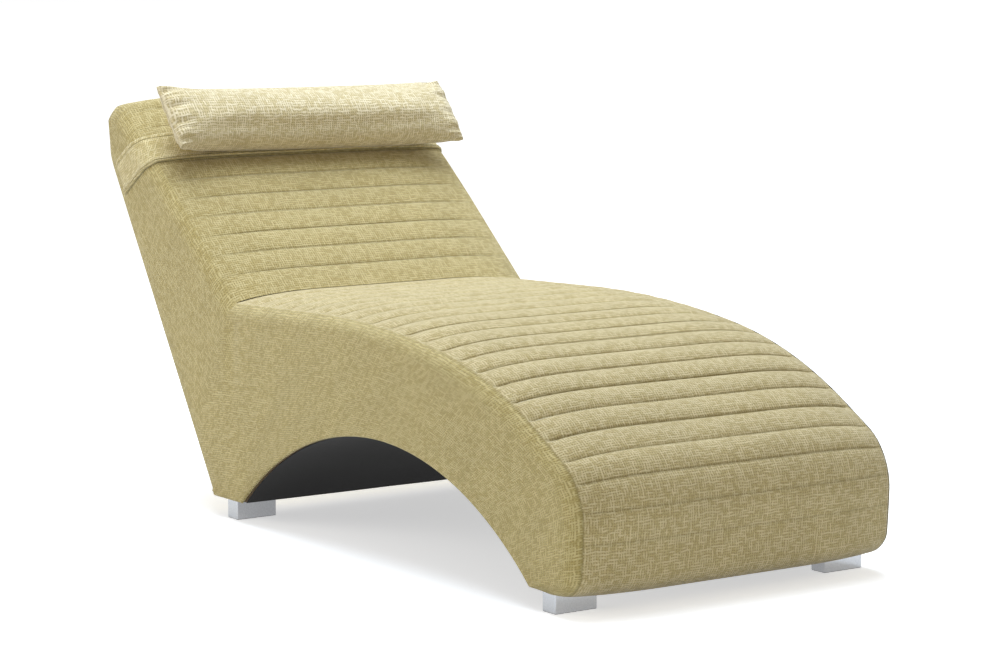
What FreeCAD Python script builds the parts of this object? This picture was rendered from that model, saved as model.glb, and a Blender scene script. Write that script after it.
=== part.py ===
import FreeCAD, Part
import math
import os

os.makedirs("parts", exist_ok=True)

Vec = FreeCAD.Vector

# Upholstered lounger, in millimetres: X from head (-) to toe (+), Y across, Z up from the floor.
# The origin lies on the floor under the middle of the length and of the width.

# Overall sizes
LENGTH = 1660.0
WIDTH = 720.0
FOOT_HEIGHT = 40.0

# Side outline: straight stretches joined by rounded corners
SEAT_HEIGHT = 454.0  # height of the crease between seat and backrest
HEAD_REACH = 504.0  # crease forward of the head end
HEEL_REACH = 425.0  # rear edge of the base forward of the head end
BACK_ANGLE = 39.4  # front of the backrest above the horizontal, in degrees
HEAD_ROLL_R = 42.0
HEAD_SEAM_STEP = 5.0  # the rear seam lies this far below the head roll
BEND_DROP = 67.0  # the rear turns upright this far below that seam
BEND_SHARE = 0.65  # share of that drop which the bend rounds off
CREST_REACH = 490.0  # seat line's highest corner forward of the crease
CREST_RISE = 13.0  # and above it
CREST_SHARE = 0.497  # share of the stretch from crest to knee that each corner rounds off
KNEE_SHARE = 0.472
KNEE_REACH = 310.0  # corner where the seat turns down, back from the toe end
KNEE_HEIGHT = 360.0  # heights above the base
TOE_HEIGHT = 200.0
TOE_TOP_R = 135.0
TOE_LOW_R = 56.0
TOE_SAG = 37.0  # lower corner of the toe, before rounding, below the base
TOE_TUCK = 87.0  # the seat cover ends under the toe this far from the toe end
HEEL_FLAT = 111.0  # flat base behind the arch under the seat
TOE_FLAT = 152.0  # from the arch to the toe end
ARCH_RISE = 192.0

# Quilted channels of the top covers
BACK_FIRST = 63.0  # first seam up from the crease
BACK_LAST = 56.0  # last seam from the rear seam of the head roll
BACK_SEAMS = 11
SEAT_FIRST = 59.0  # first seam forward of the crease
SEAT_LAST = 52.0  # last seam from the toe's lower corner
SEAT_SEAMS = 22
SEAM_DEPTH = 5.0
FADING_SEAMS = 3  # the last seams over the toe are drawn in less and less

# Soft layers, from the outside in
QUILT = 8.0  # covers, at the crown of a channel
FOAM = 40.0
SIDE_COVER = 6.0
SIDE_CROWN = 2.0  # how far the side covers swell past the top cover's edge
SIDE_PAD = 12.0
REAR_PAD = 5.0
EDGE_DROP = 27.0  # fall of the top covers from the middle to their side seam
EDGE_ROLL = 168.0  # width over which they fall
EDGE_TURN = 80.0  # turn of that roll, in degrees
EDGE_STEPS = 3
HEAD_EDGE_DROP = 11.0  # fall of the head roll at its ends
TOE_EDGE_DROP = 11.0  # and of the toe's lower edge
REAR_EDGE_DROP = 5.0
REAR_EDGE_ROLL = 20.0
WEBBING = 1.8
CLEAR = 0.3  # gap between neighbouring layers

# Timber
SIDE_BOARD = 18.0
BACK_BOARD = 3.2
ARCH_BOARD = 4.0
BASE_BOARD = 15.0
TOE_BOARD = 4.0
RAIL_THICKNESS = 24.0
ARCH_RAIL_WIDTH = 60.0
TENON_SHOULDER = 5.0  # rails' ends are smaller than the rails all round
LIGHTENING_R = 40.0
LINING = 2.0

# Webbing straps
STRAP_WIDTH = 50.0
BACK_STRAP_FIRST = 95.0  # middle of the first strap from the crease
BACK_STRAP_LAST = 28.0  # middle of the last one from the foam of the head roll
BACK_STRAPS = 5
SEAT_STRAP_FIRST = 75.0
SEAT_STRAP_LAST = 180.0  # middle of the last one back from the toe's face
SEAT_STRAPS = 12

# Chromed block feet
FOOT_DEPTH = 38.0
FOOT_LENGTH = 90.0
FOOT_WALL = 2.5
FOOT_EDGE_R = 2.0
FOOT_INSET = 10.0  # foot's outer face inside the body's side
FRONT_FOOT_GAP = 24.0  # front foot forward of the arch
FOOT_PLATE = 3.0
GLIDE_LIP = 1.0
GLIDE_PLUG = 9.0
GLIDE_WALL = 2.5
BOLT_R = 4.0
BOLT_HEAD_R = 7.5
BOLT_HEAD = 5.0
NUT_WIDTH = 16.0
NUT_HEIGHT = 6.5

# Head pillow on its elastic band
PILLOW_LENGTH = 700.0
PILLOW_REACH = 424.0  # middle of the pillow up the backrest from the crease
PILLOW_HEIGHT = 148.0
PILLOW_THICKNESS = 112.0
PILLOW_LEAN = 8.0  # pillow's top tips forward of the backrest, in degrees
PILLOW_END_LIFT = 18.0  # end seams stand off further than the middle
PILLOW_SKIN = 2.0
PILLOW_SEAM = 14.0  # sewn-up length at each end
PILLOW_SIDES = 20  # points round the section
PILLOW_FULLNESS = 0.8  # how far the section fills its corners
BAND_WIDTH = 78.0
BAND_THICKNESS = 3.5
BAND_REACH = 420.0  # middle of the band up the front of the backrest
BAND_TILT = 32.8  # band's run from rear to front above the horizontal, in degrees

# Derived places
HALF = WIDTH / 2
BASE = FOOT_HEIGHT
HEAD_X = -LENGTH / 2
TOE_X = LENGTH / 2
TOP_SEAM_Y = HALF - SIDE_CROWN
SIDE_IN_Y = HALF - SIDE_COVER - SIDE_CROWN
PAD_OUT_Y = SIDE_IN_Y - CLEAR
PAD_IN_Y = PAD_OUT_Y - SIDE_PAD
BOARD_OUT_Y = PAD_IN_Y - CLEAR
BOARD_IN_Y = BOARD_OUT_Y - SIDE_BOARD
RAIL_END_Y = BOARD_IN_Y - CLEAR

# Depths below the outline
FOAM_OUT = QUILT + CLEAR
FOAM_IN = FOAM_OUT + FOAM
STRAP_OUT = FOAM_IN + CLEAR
STRAP_IN = STRAP_OUT + WEBBING
FRAME_TOP = STRAP_IN + CLEAR
PAD_TOP = FOAM_IN + CLEAR
SIDE_TOP = EDGE_DROP + QUILT + CLEAR
REAR_PAD_OUT = QUILT + CLEAR
REAR_PAD_IN = REAR_PAD_OUT + REAR_PAD
BACK_BOARD_OUT = REAR_PAD_IN + CLEAR
BACK_BOARD_IN = BACK_BOARD_OUT + BACK_BOARD
FRAME_REAR = BACK_BOARD_IN + CLEAR
SIDE_REAR = REAR_EDGE_DROP + QUILT + CLEAR
PAD_REAR = REAR_PAD_IN + CLEAR
ARCH_BOARD_OUT = LINING + CLEAR
ARCH_BOARD_IN = ARCH_BOARD_OUT + ARCH_BOARD
FRAME_ARCH = ARCH_BOARD_IN + CLEAR
BASE_BOARD_OUT = LINING + CLEAR
BASE_BOARD_IN = BASE_BOARD_OUT + BASE_BOARD
FRAME_BASE = BASE_BOARD_IN + CLEAR

CREASE_X = HEAD_X + HEAD_REACH
HEEL_X = HEAD_X + HEEL_REACH
ARCH_X = (HEEL_X + HEEL_FLAT + TOE_X - TOE_FLAT) / 2
ARCH_SPAN = TOE_X - TOE_FLAT - HEEL_X - HEEL_FLAT
ARCH_R = (ARCH_SPAN**2 / 4 + ARCH_RISE**2) / (2 * ARCH_RISE)
ARCH_Z = BASE + ARCH_RISE - ARCH_R


def direction(angle):
    return (math.cos(math.radians(angle)), math.sin(math.radians(angle)))


def between(start, end):
    length = math.dist(start, end)
    return ((end[0] - start[0]) / length, (end[1] - start[1]) / length)


def outward(run):
    """Left-hand normal of a direction; the outline is walked with the outside on its left."""
    return (-run[1], run[0])


def crossing(first, second):
    """Point where two lines meet; a line is (point, direction)."""
    (point, run), (other, other_run) = first, second
    cross = run[0] * other_run[1] - run[1] * other_run[0]
    gap = (other[0] - point[0], other[1] - point[1])
    reach = (gap[0] * other_run[1] - gap[1] * other_run[0]) / cross
    return (point[0] + run[0] * reach, point[1] + run[1] * reach)


def drawn_in(line, depth):
    """The same line, moved towards the inside of the body."""
    point, run = line
    normal = outward(run)
    return ((point[0] - normal[0] * depth, point[1] - normal[1] * depth), run)


def corner_radius(cut, run, next_run):
    """Radius that takes a length off both stretches of a corner."""
    turn = math.acos(run[0] * next_run[0] + run[1] * next_run[1])
    return cut / math.tan(turn / 2)


# Corners of the side outline
CREASE = (CREASE_X, SEAT_HEIGHT)
HEEL = (HEEL_X, BASE)
BACK = (CREASE, direction(-BACK_ANGLE))
HEAD_REAR = ((HEAD_X, BASE), (0.0, 1.0))
HEAD_TOP = crossing(HEAD_REAR, BACK)
HEAD_TANGENT = HEAD_ROLL_R / math.tan(math.radians(90 - BACK_ANGLE) / 2)
HEAD_SEAM = (HEAD_X, HEAD_TOP[1] - HEAD_TANGENT - HEAD_SEAM_STEP)
REAR_BEND = (HEAD_X, HEAD_SEAM[1] - BEND_DROP)
REAR = (HEEL, between(HEEL, REAR_BEND))
REAR_BEND_R = corner_radius(BEND_DROP * BEND_SHARE, REAR[1], HEAD_REAR[1])
CREST = (CREASE_X + CREST_REACH, SEAT_HEIGHT + CREST_RISE)
KNEE = (TOE_X - KNEE_REACH, BASE + KNEE_HEIGHT)
TOE_TOP = (TOE_X, BASE + TOE_HEIGHT)
TOE_LOW = (TOE_X, BASE - TOE_SAG)
TOE_END = (TOE_X - TOE_TUCK, BASE)
SEAT_REAR = (CREASE, between(CREASE, CREST))
SEAT_MID = (CREST, between(CREST, KNEE))
SEAT_FRONT = (KNEE, between(KNEE, TOE_TOP))
CREST_R = corner_radius(math.dist(CREST, KNEE) * CREST_SHARE, SEAT_REAR[1], SEAT_MID[1])
KNEE_R = corner_radius(math.dist(CREST, KNEE) * KNEE_SHARE, SEAT_MID[1], SEAT_FRONT[1])
TOE = (TOE_TOP, (0.0, -1.0))
BASE_LINE = (TOE_END, (-1.0, 0.0))

BACK_NORMAL = outward(BACK[1])
SEAT_NORMAL = outward(SEAT_REAR[1])
FOLD_SHARE = 1 + BACK_NORMAL[0] * SEAT_NORMAL[0] + BACK_NORMAL[1] * SEAT_NORMAL[1]
FOLD_RUN = (
    (BACK_NORMAL[0] + SEAT_NORMAL[0]) / FOLD_SHARE,
    (BACK_NORMAL[1] + SEAT_NORMAL[1]) / FOLD_SHARE,
)


class Path:
    """A line of straight stretches and rounded corners, walked by its length."""

    def __init__(self, corners):
        self.pieces = []
        start = corners[0][:2]
        for before, corner, after in zip(corners, corners[1:], corners[2:]):
            run = between(before[:2], corner[:2])
            next_run = between(corner[:2], after[:2])
            turn = math.atan2(
                run[0] * next_run[1] - run[1] * next_run[0], run[0] * next_run[0] + run[1] * next_run[1]
            )
            radius = corner[2]
            cut = radius * math.tan(abs(turn) / 2)
            stop = (corner[0] - run[0] * cut, corner[1] - run[1] * cut)
            self.pieces.append(("line", math.dist(start, stop), start, run))
            self.pieces.append(("arc", radius * abs(turn), stop, run, radius, turn))
            start = (corner[0] + next_run[0] * cut, corner[1] + next_run[1] * cut)
        end = corners[-1][:2]
        self.pieces.append(("line", math.dist(start, end), start, between(start, end)))
        self.length = sum(piece[1] for piece in self.pieces)

    def joints(self):
        """Lengths at which one stretch passes into the next."""
        marks = [0.0]
        for piece in self.pieces:
            marks.append(marks[-1] + piece[1])
        return marks

    def at(self, reach):
        """Point and outward normal after a length along the path."""
        for piece in self.pieces:
            if reach <= piece[1] or piece is self.pieces[-1]:
                break
            reach -= piece[1]
        start, run = piece[2], piece[3]
        if piece[0] == "line":
            return (start[0] + run[0] * reach, start[1] + run[1] * reach), outward(run)
        radius, turn = piece[4], piece[5]
        side = math.copysign(1.0, turn)
        normal = outward(run)
        angle = side * reach / radius
        along = radius * math.sin(abs(angle))
        across = side * radius * (1 - math.cos(angle))
        point = (
            start[0] + run[0] * along + normal[0] * across,
            start[1] + run[1] * along + normal[1] * across,
        )
        turned = (
            run[0] * math.cos(angle) + normal[0] * math.sin(angle),
            run[1] * math.cos(angle) + normal[1] * math.sin(angle),
        )
        return point, outward(turned)


REAR_PATH = Path([HEEL, (*REAR_BEND, REAR_BEND_R), HEAD_SEAM])
BACK_PATH = Path([HEAD_SEAM, (*HEAD_TOP, HEAD_ROLL_R), CREASE])
SEAT_PATH = Path(
    [
        CREASE,
        (*CREST, CREST_R),
        (*KNEE, KNEE_R),
        (*TOE_TOP, TOE_TOP_R),
        (*TOE_LOW, TOE_LOW_R),
        TOE_END,
    ]
)


def place(path, reach, depth, y):
    """Point at a depth under the path; both covers meet on the line that halves the crease."""
    if path is SEAT_PATH and reach == 0:
        away = SEAT_REAR[1]
    elif path is BACK_PATH and reach == path.length:
        away = (-BACK[1][0], -BACK[1][1])
    else:
        point, normal = path.at(reach)
        return Vec(point[0] - normal[0] * depth, y, point[1] - normal[1] * depth)
    x = CREASE[0] - FOLD_RUN[0] * depth + away[0] * CLEAR / 2
    z = CREASE[1] - FOLD_RUN[1] * depth + away[1] * CLEAR / 2
    return Vec(x, y, z)


def bow(start, middle, end):
    """Arc through three points, or a line where they lie in a row."""
    if middle.distanceToLine(start, end - start) < 0.005:
        return Part.makeLine(start, end)
    return Part.Arc(start, middle, end).toShape()


def chain(path, breaks, depths, dents, y):
    """Row of arcs along a path, one for each stretch between two breaks, drawn in at the breaks."""
    edges = []
    marks = list(zip(breaks, depths, dents))
    for (first, depth, dent), (last, next_depth, next_dent) in zip(marks, marks[1:]):
        edges.append(
            bow(
                place(path, first, depth + dent, y),
                place(path, (first + last) / 2, (depth + next_depth) / 2, y),
                place(path, last, next_depth + next_dent, y),
            )
        )
    return edges


def layer_edges(path, layer, drop, y):
    """Arcs of one face of a layer, whose fall towards the side seam has a share at each break."""
    breaks, depth, shares, dents = layer
    depths = [depth + drop * share for share in shares]
    return chain(path, breaks, depths, dents, y)


def layer(breaks, depth, shares=None, dents=None):
    """One face of a layer: its breaks along the path, depth, shares of the edge's fall and seams."""
    level_row = [0.0] * len(breaks)
    return (breaks, depth, shares or level_row, dents or level_row)


def strip(path, outer, inner, stations):
    """Solid between two faces along a path, lofted across Y through stations of (y, drop)."""
    wires = []
    for y, drop in stations:
        outside = layer_edges(path, outer, drop, y)
        inside = layer_edges(path, inner, drop, y)
        ends = [
            Part.makeLine(outside[-1].lastVertex(True).Point, inside[-1].lastVertex(True).Point),
            Part.makeLine(inside[0].firstVertex(True).Point, outside[0].firstVertex(True).Point),
        ]
        wires.append(Part.Wire(outside + ends[:1] + inside[::-1] + ends[1:]))
    return Part.makeLoft(wires, True, True)


def across(limit, seam_y=TOP_SEAM_Y, drop=EDGE_DROP, roll=EDGE_ROLL, steps=EDGE_STEPS):
    """Stations across Y, out to a limit, of a layer that rolls down towards its side seam."""
    half = []
    for step in range(steps + 1):
        angle = math.radians(EDGE_TURN * step / steps)
        full = math.radians(EDGE_TURN)
        y = seam_y - roll + roll * math.sin(angle) / math.sin(full)
        fall = drop * (1 - math.cos(angle)) / (1 - math.cos(full))
        if y >= limit:
            before_y, before_fall = half[-1]
            fall = before_fall + (fall - before_fall) * (limit - before_y) / (y - before_y)
            half.append((limit, fall))
            break
        half.append((y, fall))
    return [(-y, fall) for y, fall in reversed(half)] + half


def level(limit):
    """Stations of a layer that lies flat across Y."""
    return [(-limit, 0.0), (limit, 0.0)]


def spaced(first, last, steps):
    """Evenly spaced lengths along a path."""
    return [first + (last - first) * step / (len(steps) - 1) for step in steps]


# Breaks of the layers, as lengths along their paths, and the share of the edge's fall at each
BACK_UP = BACK_PATH.length
BACK_SEAM_MARKS = spaced(BACK_LAST, BACK_UP - BACK_FIRST, range(BACK_SEAMS))
BACK_BREAKS = [0.0] + BACK_SEAM_MARKS + [BACK_UP]
HEAD_BREAK = 3  # foam of the head roll ends at this break
HEAD_SHARE = HEAD_EDGE_DROP / EDGE_DROP
HEAD_SHARES = [HEAD_SHARE] * HEAD_BREAK + [1.0]
BACK_SHARES = HEAD_SHARES + [1.0] * (len(BACK_BREAKS) - len(HEAD_SHARES))
BACK_INNER = BACK_BREAKS[: len(HEAD_SHARES)] + [BACK_UP]
SEAT_JOINTS = SEAT_PATH.joints()
TOE_FACE, TOE_TURN, TOE_UNDER = SEAT_JOINTS[-4:-1]
TOE_MIDDLE = (TOE_FACE + TOE_TURN) / 2
TOE_BREAKS = [TOE_MIDDLE, TOE_TURN, TOE_UNDER, SEAT_PATH.length]
TOE_SHARE = TOE_EDGE_DROP / EDGE_DROP
SEAT_SEAM_MARKS = spaced(SEAT_FIRST, TOE_TURN - SEAT_LAST, range(SEAT_SEAMS))
SEAT_BREAKS = [0.0] + SEAT_SEAM_MARKS + TOE_BREAKS[1:]
SEAT_INNER = SEAT_JOINTS[:-3] + TOE_BREAKS
REAR_BREAKS = REAR_PATH.joints()


def toe_shares(breaks):
    """The edge falls less and less from the middle of the toe's face to its lower corner."""
    shares = []
    for mark in breaks:
        passed = (mark - TOE_MIDDLE) / (TOE_TURN - TOE_MIDDLE)
        shares.append(1 + (TOE_SHARE - 1) * min(1.0, max(0.0, passed)))
    return shares


def quilt_dents(breaks, seams, faded):
    """Depth of the sewn seam at each break of a quilted cover."""
    dents = []
    for mark in breaks:
        share = 0.0
        if mark in seams:
            rank = len(seams) - seams.index(mark)
            share = min(1.0, rank / (faded + 1))
        dents.append(SEAM_DEPTH * share)
    return dents


def cover_back():
    dents = quilt_dents(BACK_BREAKS, BACK_SEAM_MARKS, 0)
    dents[-1] = SEAM_DEPTH
    outer = layer(BACK_BREAKS, 0.0, BACK_SHARES, dents)
    inner = layer(BACK_INNER, QUILT, HEAD_SHARES + [1.0])
    return strip(BACK_PATH, outer, inner, across(TOP_SEAM_Y))


def cover_seat():
    dents = quilt_dents(SEAT_BREAKS, SEAT_SEAM_MARKS, FADING_SEAMS)
    dents[0] = SEAM_DEPTH
    outer = layer(SEAT_BREAKS, 0.0, toe_shares(SEAT_BREAKS), dents)
    inner = layer(SEAT_INNER, QUILT, toe_shares(SEAT_INNER))
    return strip(SEAT_PATH, outer, inner, across(TOP_SEAM_Y))


def foam_back():
    breaks = [BACK_INNER[HEAD_BREAK] + CLEAR] + BACK_INNER[HEAD_BREAK + 1 :]
    outer = layer(breaks, FOAM_OUT, HEAD_SHARES[HEAD_BREAK:] + [1.0])
    return strip(BACK_PATH, outer, layer(breaks, FOAM_IN), across(PAD_OUT_Y))


def foam_seat():
    outer = layer(SEAT_INNER, FOAM_OUT, toe_shares(SEAT_INNER))
    return strip(SEAT_PATH, outer, layer(SEAT_INNER, FOAM_IN), across(PAD_OUT_Y))


SEAM_LINE = (HEAD_SEAM, (1.0, 0.0))
HEAD_FRONT = place(BACK_PATH, BACK_BREAKS[HEAD_BREAK], FOAM_IN, 0)
HEAD_CUT = (
    (HEAD_X + REAR_PAD_IN, HEAD_SEAM[1]),
    between((HEAD_X + REAR_PAD_IN, HEAD_SEAM[1]), (HEAD_FRONT.x, HEAD_FRONT.z)),
)


def foam_head():
    """Roll of foam over the top edge of the backrest, cut straight where it sits on the frame."""
    outer = layer(BACK_BREAKS[: HEAD_BREAK + 1], FOAM_OUT, HEAD_SHARES[: HEAD_BREAK + 1])
    wires = []
    for y, drop in across(PAD_OUT_Y):
        edges = layer_edges(BACK_PATH, outer, drop, y)
        corners = [
            edges[-1].lastVertex(True).Point,
            place(BACK_PATH, BACK_BREAKS[HEAD_BREAK], FOAM_IN, y),
            place(BACK_PATH, 0.0, REAR_PAD_IN + drop * HEAD_SHARE, y),
            edges[0].firstVertex(True).Point,
        ]
        edges += [Part.makeLine(start, end) for start, end in zip(corners, corners[1:])]
        wires.append(Part.Wire(edges))
    return Part.makeLoft(wires, True, True)


def rear_stations(limit):
    return across(limit, drop=REAR_EDGE_DROP, roll=REAR_EDGE_ROLL, steps=2)


def cover_rear():
    shares = [1.0] * len(REAR_BREAKS)
    outer = layer(REAR_BREAKS, 0.0, shares)
    return strip(REAR_PATH, outer, layer(REAR_BREAKS, QUILT, shares), rear_stations(TOP_SEAM_Y))


def rear_pad():
    breaks = REAR_BREAKS[:-1] + [REAR_PATH.length - CLEAR]
    outer = layer(breaks, REAR_PAD_OUT, [1.0] * len(breaks))
    return strip(REAR_PATH, outer, layer(breaks, REAR_PAD_IN), rear_stations(PAD_OUT_Y))


BOARD_START = (FRAME_BASE + CLEAR) / REAR[1][1]


def back_board():
    breaks = [BOARD_START] + REAR_BREAKS[1:-1]
    outer = layer(breaks, BACK_BOARD_OUT)
    return strip(REAR_PATH, outer, layer(breaks, BACK_BOARD_IN), level(BOARD_OUT_Y))


def rounded(corners, y):
    """Edges of an open line through (point, radius) corners; radius 0 stays sharp."""
    edges = []
    last = Vec(corners[0][0][0], y, corners[0][0][1])
    for (before, _), (corner, radius), (after, _) in zip(corners, corners[1:], corners[2:]):
        run = between(before, corner)
        next_run = between(corner, after)
        turn = math.acos(max(-1.0, min(1.0, run[0] * next_run[0] + run[1] * next_run[1])))
        cut = radius * math.tan(turn / 2)
        stop = Vec(corner[0] - run[0] * cut, y, corner[1] - run[1] * cut)
        edges.append(Part.makeLine(last, stop))
        last = stop
        if radius > 0:
            away = (next_run[0] - run[0], next_run[1] - run[1])
            reach = radius * (1 / math.cos(turn / 2) - 1) / math.hypot(*away)
            middle = Vec(corner[0] + away[0] * reach, y, corner[1] + away[1] * reach)
            last = Vec(corner[0] + next_run[0] * cut, y, corner[1] + next_run[1] * cut)
            edges.append(Part.Arc(stop, middle, last).toShape())
    end = Vec(corners[-1][0][0], y, corners[-1][0][1])
    return edges + [Part.makeLine(last, end)]


def arch_x(z, depth, side):
    """Where the arch, drawn in by a depth, crosses a height; side is -1 at the rear, 1 in front."""
    return ARCH_X + side * math.sqrt((ARCH_R + depth) ** 2 - (z - ARCH_Z) ** 2)


def spot(point):
    return (point.x, point.z)


def side_outline(y, top, rear, base, arch, rolled):
    """Closed side outline, drawn in by the depth of each stretch; its head is rolled or cut straight."""
    head_breaks = [-CLEAR] + BACK_INNER[1:-1]
    head_line = SEAM_LINE if rolled else HEAD_CUT
    head_line = drawn_in(head_line, CLEAR)
    rear_line = drawn_in(REAR, rear)
    head_rear = drawn_in(HEAD_REAR, rear)
    base_line = drawn_in(BASE_LINE, base)
    back_line, rear_seat, mid_seat, front_seat, toe_line = [
        drawn_in(line, top) for line in (BACK, SEAT_REAR, SEAT_MID, SEAT_FRONT, TOE)
    ]
    heel = crossing(base_line, rear_line)
    lower = [(heel, 0.0), (crossing(rear_line, head_rear), REAR_BEND_R - rear)]
    head = []
    toe_falls = [0.0] * len(TOE_BREAKS)
    upper_start = crossing(head_line, back_line)
    if rolled:
        head_depths = [top + EDGE_DROP * (share - 1) for share in HEAD_SHARES]
        head = chain(BACK_PATH, head_breaks, head_depths, [0.0] * len(head_depths), y)
        upper_start = spot(head[-1].lastVertex(True).Point)
        lower.append((spot(head[0].firstVertex(True).Point), 0.0))
        toe_falls = [EDGE_DROP * (share - 1) for share in toe_shares(TOE_BREAKS)]
    else:
        lower += [(crossing(head_rear, head_line), 0.0), (upper_start, 0.0)]
    toe_depths = [top + fall for fall in toe_falls]
    toe = chain(SEAT_PATH, TOE_BREAKS, toe_depths, [0.0] * len(TOE_BREAKS), y)
    upper = [
        (upper_start, 0.0),
        (crossing(back_line, rear_seat), 0.0),
        (crossing(rear_seat, mid_seat), CREST_R - top),
        (crossing(mid_seat, front_seat), KNEE_R - top),
        (crossing(front_seat, toe_line), TOE_TOP_R - top),
        (spot(place(SEAT_PATH, TOE_BREAKS[0], top, y)), 0.0),
    ]
    toe_end = spot(place(SEAT_PATH, TOE_BREAKS[-1], toe_depths[-1], y))
    step_x = TOE_END[0] - CLEAR
    z = BASE + base
    front = Vec(arch_x(z, arch, 1), y, z)
    back = Vec(arch_x(z, arch, -1), y, z)
    under = [(toe_end, 0.0), ((step_x, toe_end[1]), 0.0), ((step_x, z), 0.0), (spot(front), 0.0)]
    crest = Vec(ARCH_X, y, ARCH_Z + ARCH_R + arch)
    edges = rounded(lower, y) + head + rounded(upper, y) + toe + rounded(under, y)
    edges.append(Part.Arc(front, crest, back).toShape())
    edges.append(Part.makeLine(back, Vec(heel[0], y, z)))
    return Part.Wire(edges)


def plate(outline, thickness):
    return Part.Face(outline).extrude(Vec(0, thickness, 0))


def cover_side(side):
    start = SIDE_IN_Y if side > 0 else -HALF
    return plate(side_outline(start, SIDE_TOP, SIDE_REAR, 0.0, 0.0, True), HALF - SIDE_IN_Y)


# Rails: name, line above, share of its length, depth, width along it and depth of the section
RAILS = [
    ("head_rail", BACK_PATH, 0.345, FRAME_TOP, 60.0, RAIL_THICKNESS),
    ("back_rail", BACK_PATH, 0.65, FRAME_TOP, RAIL_THICKNESS, 60.0),
    ("lumbar_rail", BACK_PATH, 0.94, FRAME_TOP, RAIL_THICKNESS, 70.0),
    ("seat_rear_rail", SEAT_PATH, 0.042, FRAME_TOP, RAIL_THICKNESS, 80.0),
    ("seat_rail", SEAT_PATH, 0.353, FRAME_TOP, RAIL_THICKNESS, 90.0),
    ("knee_rail", SEAT_PATH, 0.607, FRAME_TOP, RAIL_THICKNESS, 80.0),
    ("toe_rail", SEAT_PATH, 0.762, FRAME_TOP, RAIL_THICKNESS, 60.0),
    ("rear_rail", REAR_PATH, 0.11, FRAME_REAR, 60.0, RAIL_THICKNESS),
]
# Rails on the arch: name and direction from its centre, in degrees
ARCH_RAILS = [("arch_rail_rear", 113.0), ("arch_rail_front", 67.0)]
# Lightening holes: line above, share of its length and depth
LIGHTENING = [
    (BACK_PATH, 0.49, 107.0),
    (BACK_PATH, 0.8, 135.0),
    (SEAT_PATH, 0.198, 130.0),
    (SEAT_PATH, 0.487, 120.0),
]
BACK_STRAP_MARKS = spaced(
    BACK_BREAKS[HEAD_BREAK] + BACK_STRAP_LAST, BACK_UP - BACK_STRAP_FIRST, range(BACK_STRAPS)
)
SEAT_STRAP_MARKS = spaced(SEAT_STRAP_FIRST, TOE_FACE - SEAT_STRAP_LAST, range(SEAT_STRAPS))

# Pillow sections: share of the half length, then of thickness, height and end lift
PILLOW_STATIONS = [
    (0.0, 1.0, 0.96, 0.0),
    (0.55, 0.98, 0.96, 0.0),
    (0.78, 0.86, 0.965, 0.22),
    (0.9, 0.62, 0.975, 0.6),
    (0.96, 0.34, 0.985, 1.0),
    (1.0, 0.05, 1.0, 1.0),
]


def side_pad(side):
    start = PAD_IN_Y if side > 0 else -PAD_OUT_Y
    outline = side_outline(start, PAD_TOP, PAD_REAR, BASE_BOARD_OUT, FRAME_ARCH, False)
    return plate(outline, SIDE_PAD)


def rod(radius, length, x, y, z, side):
    """Round bar along Y from a point, towards the middle for a side of +1 or -1."""
    return Part.makeCylinder(radius, length, Vec(x, y, z), Vec(0, -side, 0))


def lightening_holes(side):
    """Round holes that lighten a side board between its rails."""
    holes = []
    for path, share, depth in LIGHTENING:
        centre = place(path, path.length * share, depth, side * (BOARD_OUT_Y + CLEAR))
        holes.append(rod(LIGHTENING_R, SIDE_BOARD + 2 * CLEAR, *centre, side))
    return holes


def rail_frames():
    """Each rail's name, face point, outward normal and section, from the lines it lies under."""
    frames = []
    for name, path, share, depth, along, deep in RAILS:
        reach = path.length * share
        point = spot(place(path, reach, depth, 0.0))
        frames.append((name, point, path.at(reach)[1], along, deep))
    for name, angle in ARCH_RAILS:
        run = direction(angle)
        reach = ARCH_R + FRAME_ARCH
        point = (ARCH_X + run[0] * reach, ARCH_Z + run[1] * reach)
        frames.append((name, point, (-run[0], -run[1]), ARCH_RAIL_WIDTH, RAIL_THICKNESS))
    return frames


def rail_bar(frame, inset, limit):
    """Bar along a rail out to a limit in Y, smaller than its section by an inset all round."""
    _, point, normal, along, deep = frame
    run = (normal[1], -normal[0])
    half = along / 2 - inset
    corners = []
    for side, depth in ((-half, inset), (half, inset), (half, deep - inset), (-half, deep - inset)):
        x = point[0] + run[0] * side - normal[0] * depth
        z = point[1] + run[1] * side - normal[1] * depth
        corners.append(Vec(x, -limit, z))
    return plate(Part.makePolygon(corners + corners[:1]), 2 * limit)


def rail(frame):
    """Timber rail across the width, with tenons through both side boards."""
    tenon = rail_bar(frame, TENON_SHOULDER, BOARD_OUT_Y)
    return rail_bar(frame, 0.0, RAIL_END_Y).fuse(tenon).removeSplitter()


def side_frame(side, frames):
    start = BOARD_IN_Y if side > 0 else -BOARD_OUT_Y
    outline = side_outline(start, FRAME_TOP, FRAME_REAR, FRAME_BASE, FRAME_ARCH, False)
    mortises = [rail_bar(frame, TENON_SHOULDER - CLEAR, HALF) for frame in frames]
    return plate(outline, SIDE_BOARD).cut(mortises + lightening_holes(side))


def straps(path, marks):
    """Elastic webbing across the width, lying on the top edges of both side boards."""
    solids = []
    for mark in marks:
        breaks = [mark - STRAP_WIDTH / 2, mark + STRAP_WIDTH / 2]
        outer = layer(breaks, STRAP_OUT)
        solids.append(strip(path, outer, layer(breaks, STRAP_IN), level(BOARD_OUT_Y)))
    return Part.makeCompound(solids)


def toe_board():
    """Bent board behind the toe foam, held between the side boards."""
    breaks = [TOE_FACE, TOE_TURN, TOE_UNDER]
    outer = layer(breaks, FRAME_TOP)
    return strip(SEAT_PATH, outer, layer(breaks, FRAME_TOP + TOE_BOARD), level(RAIL_END_Y))


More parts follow.
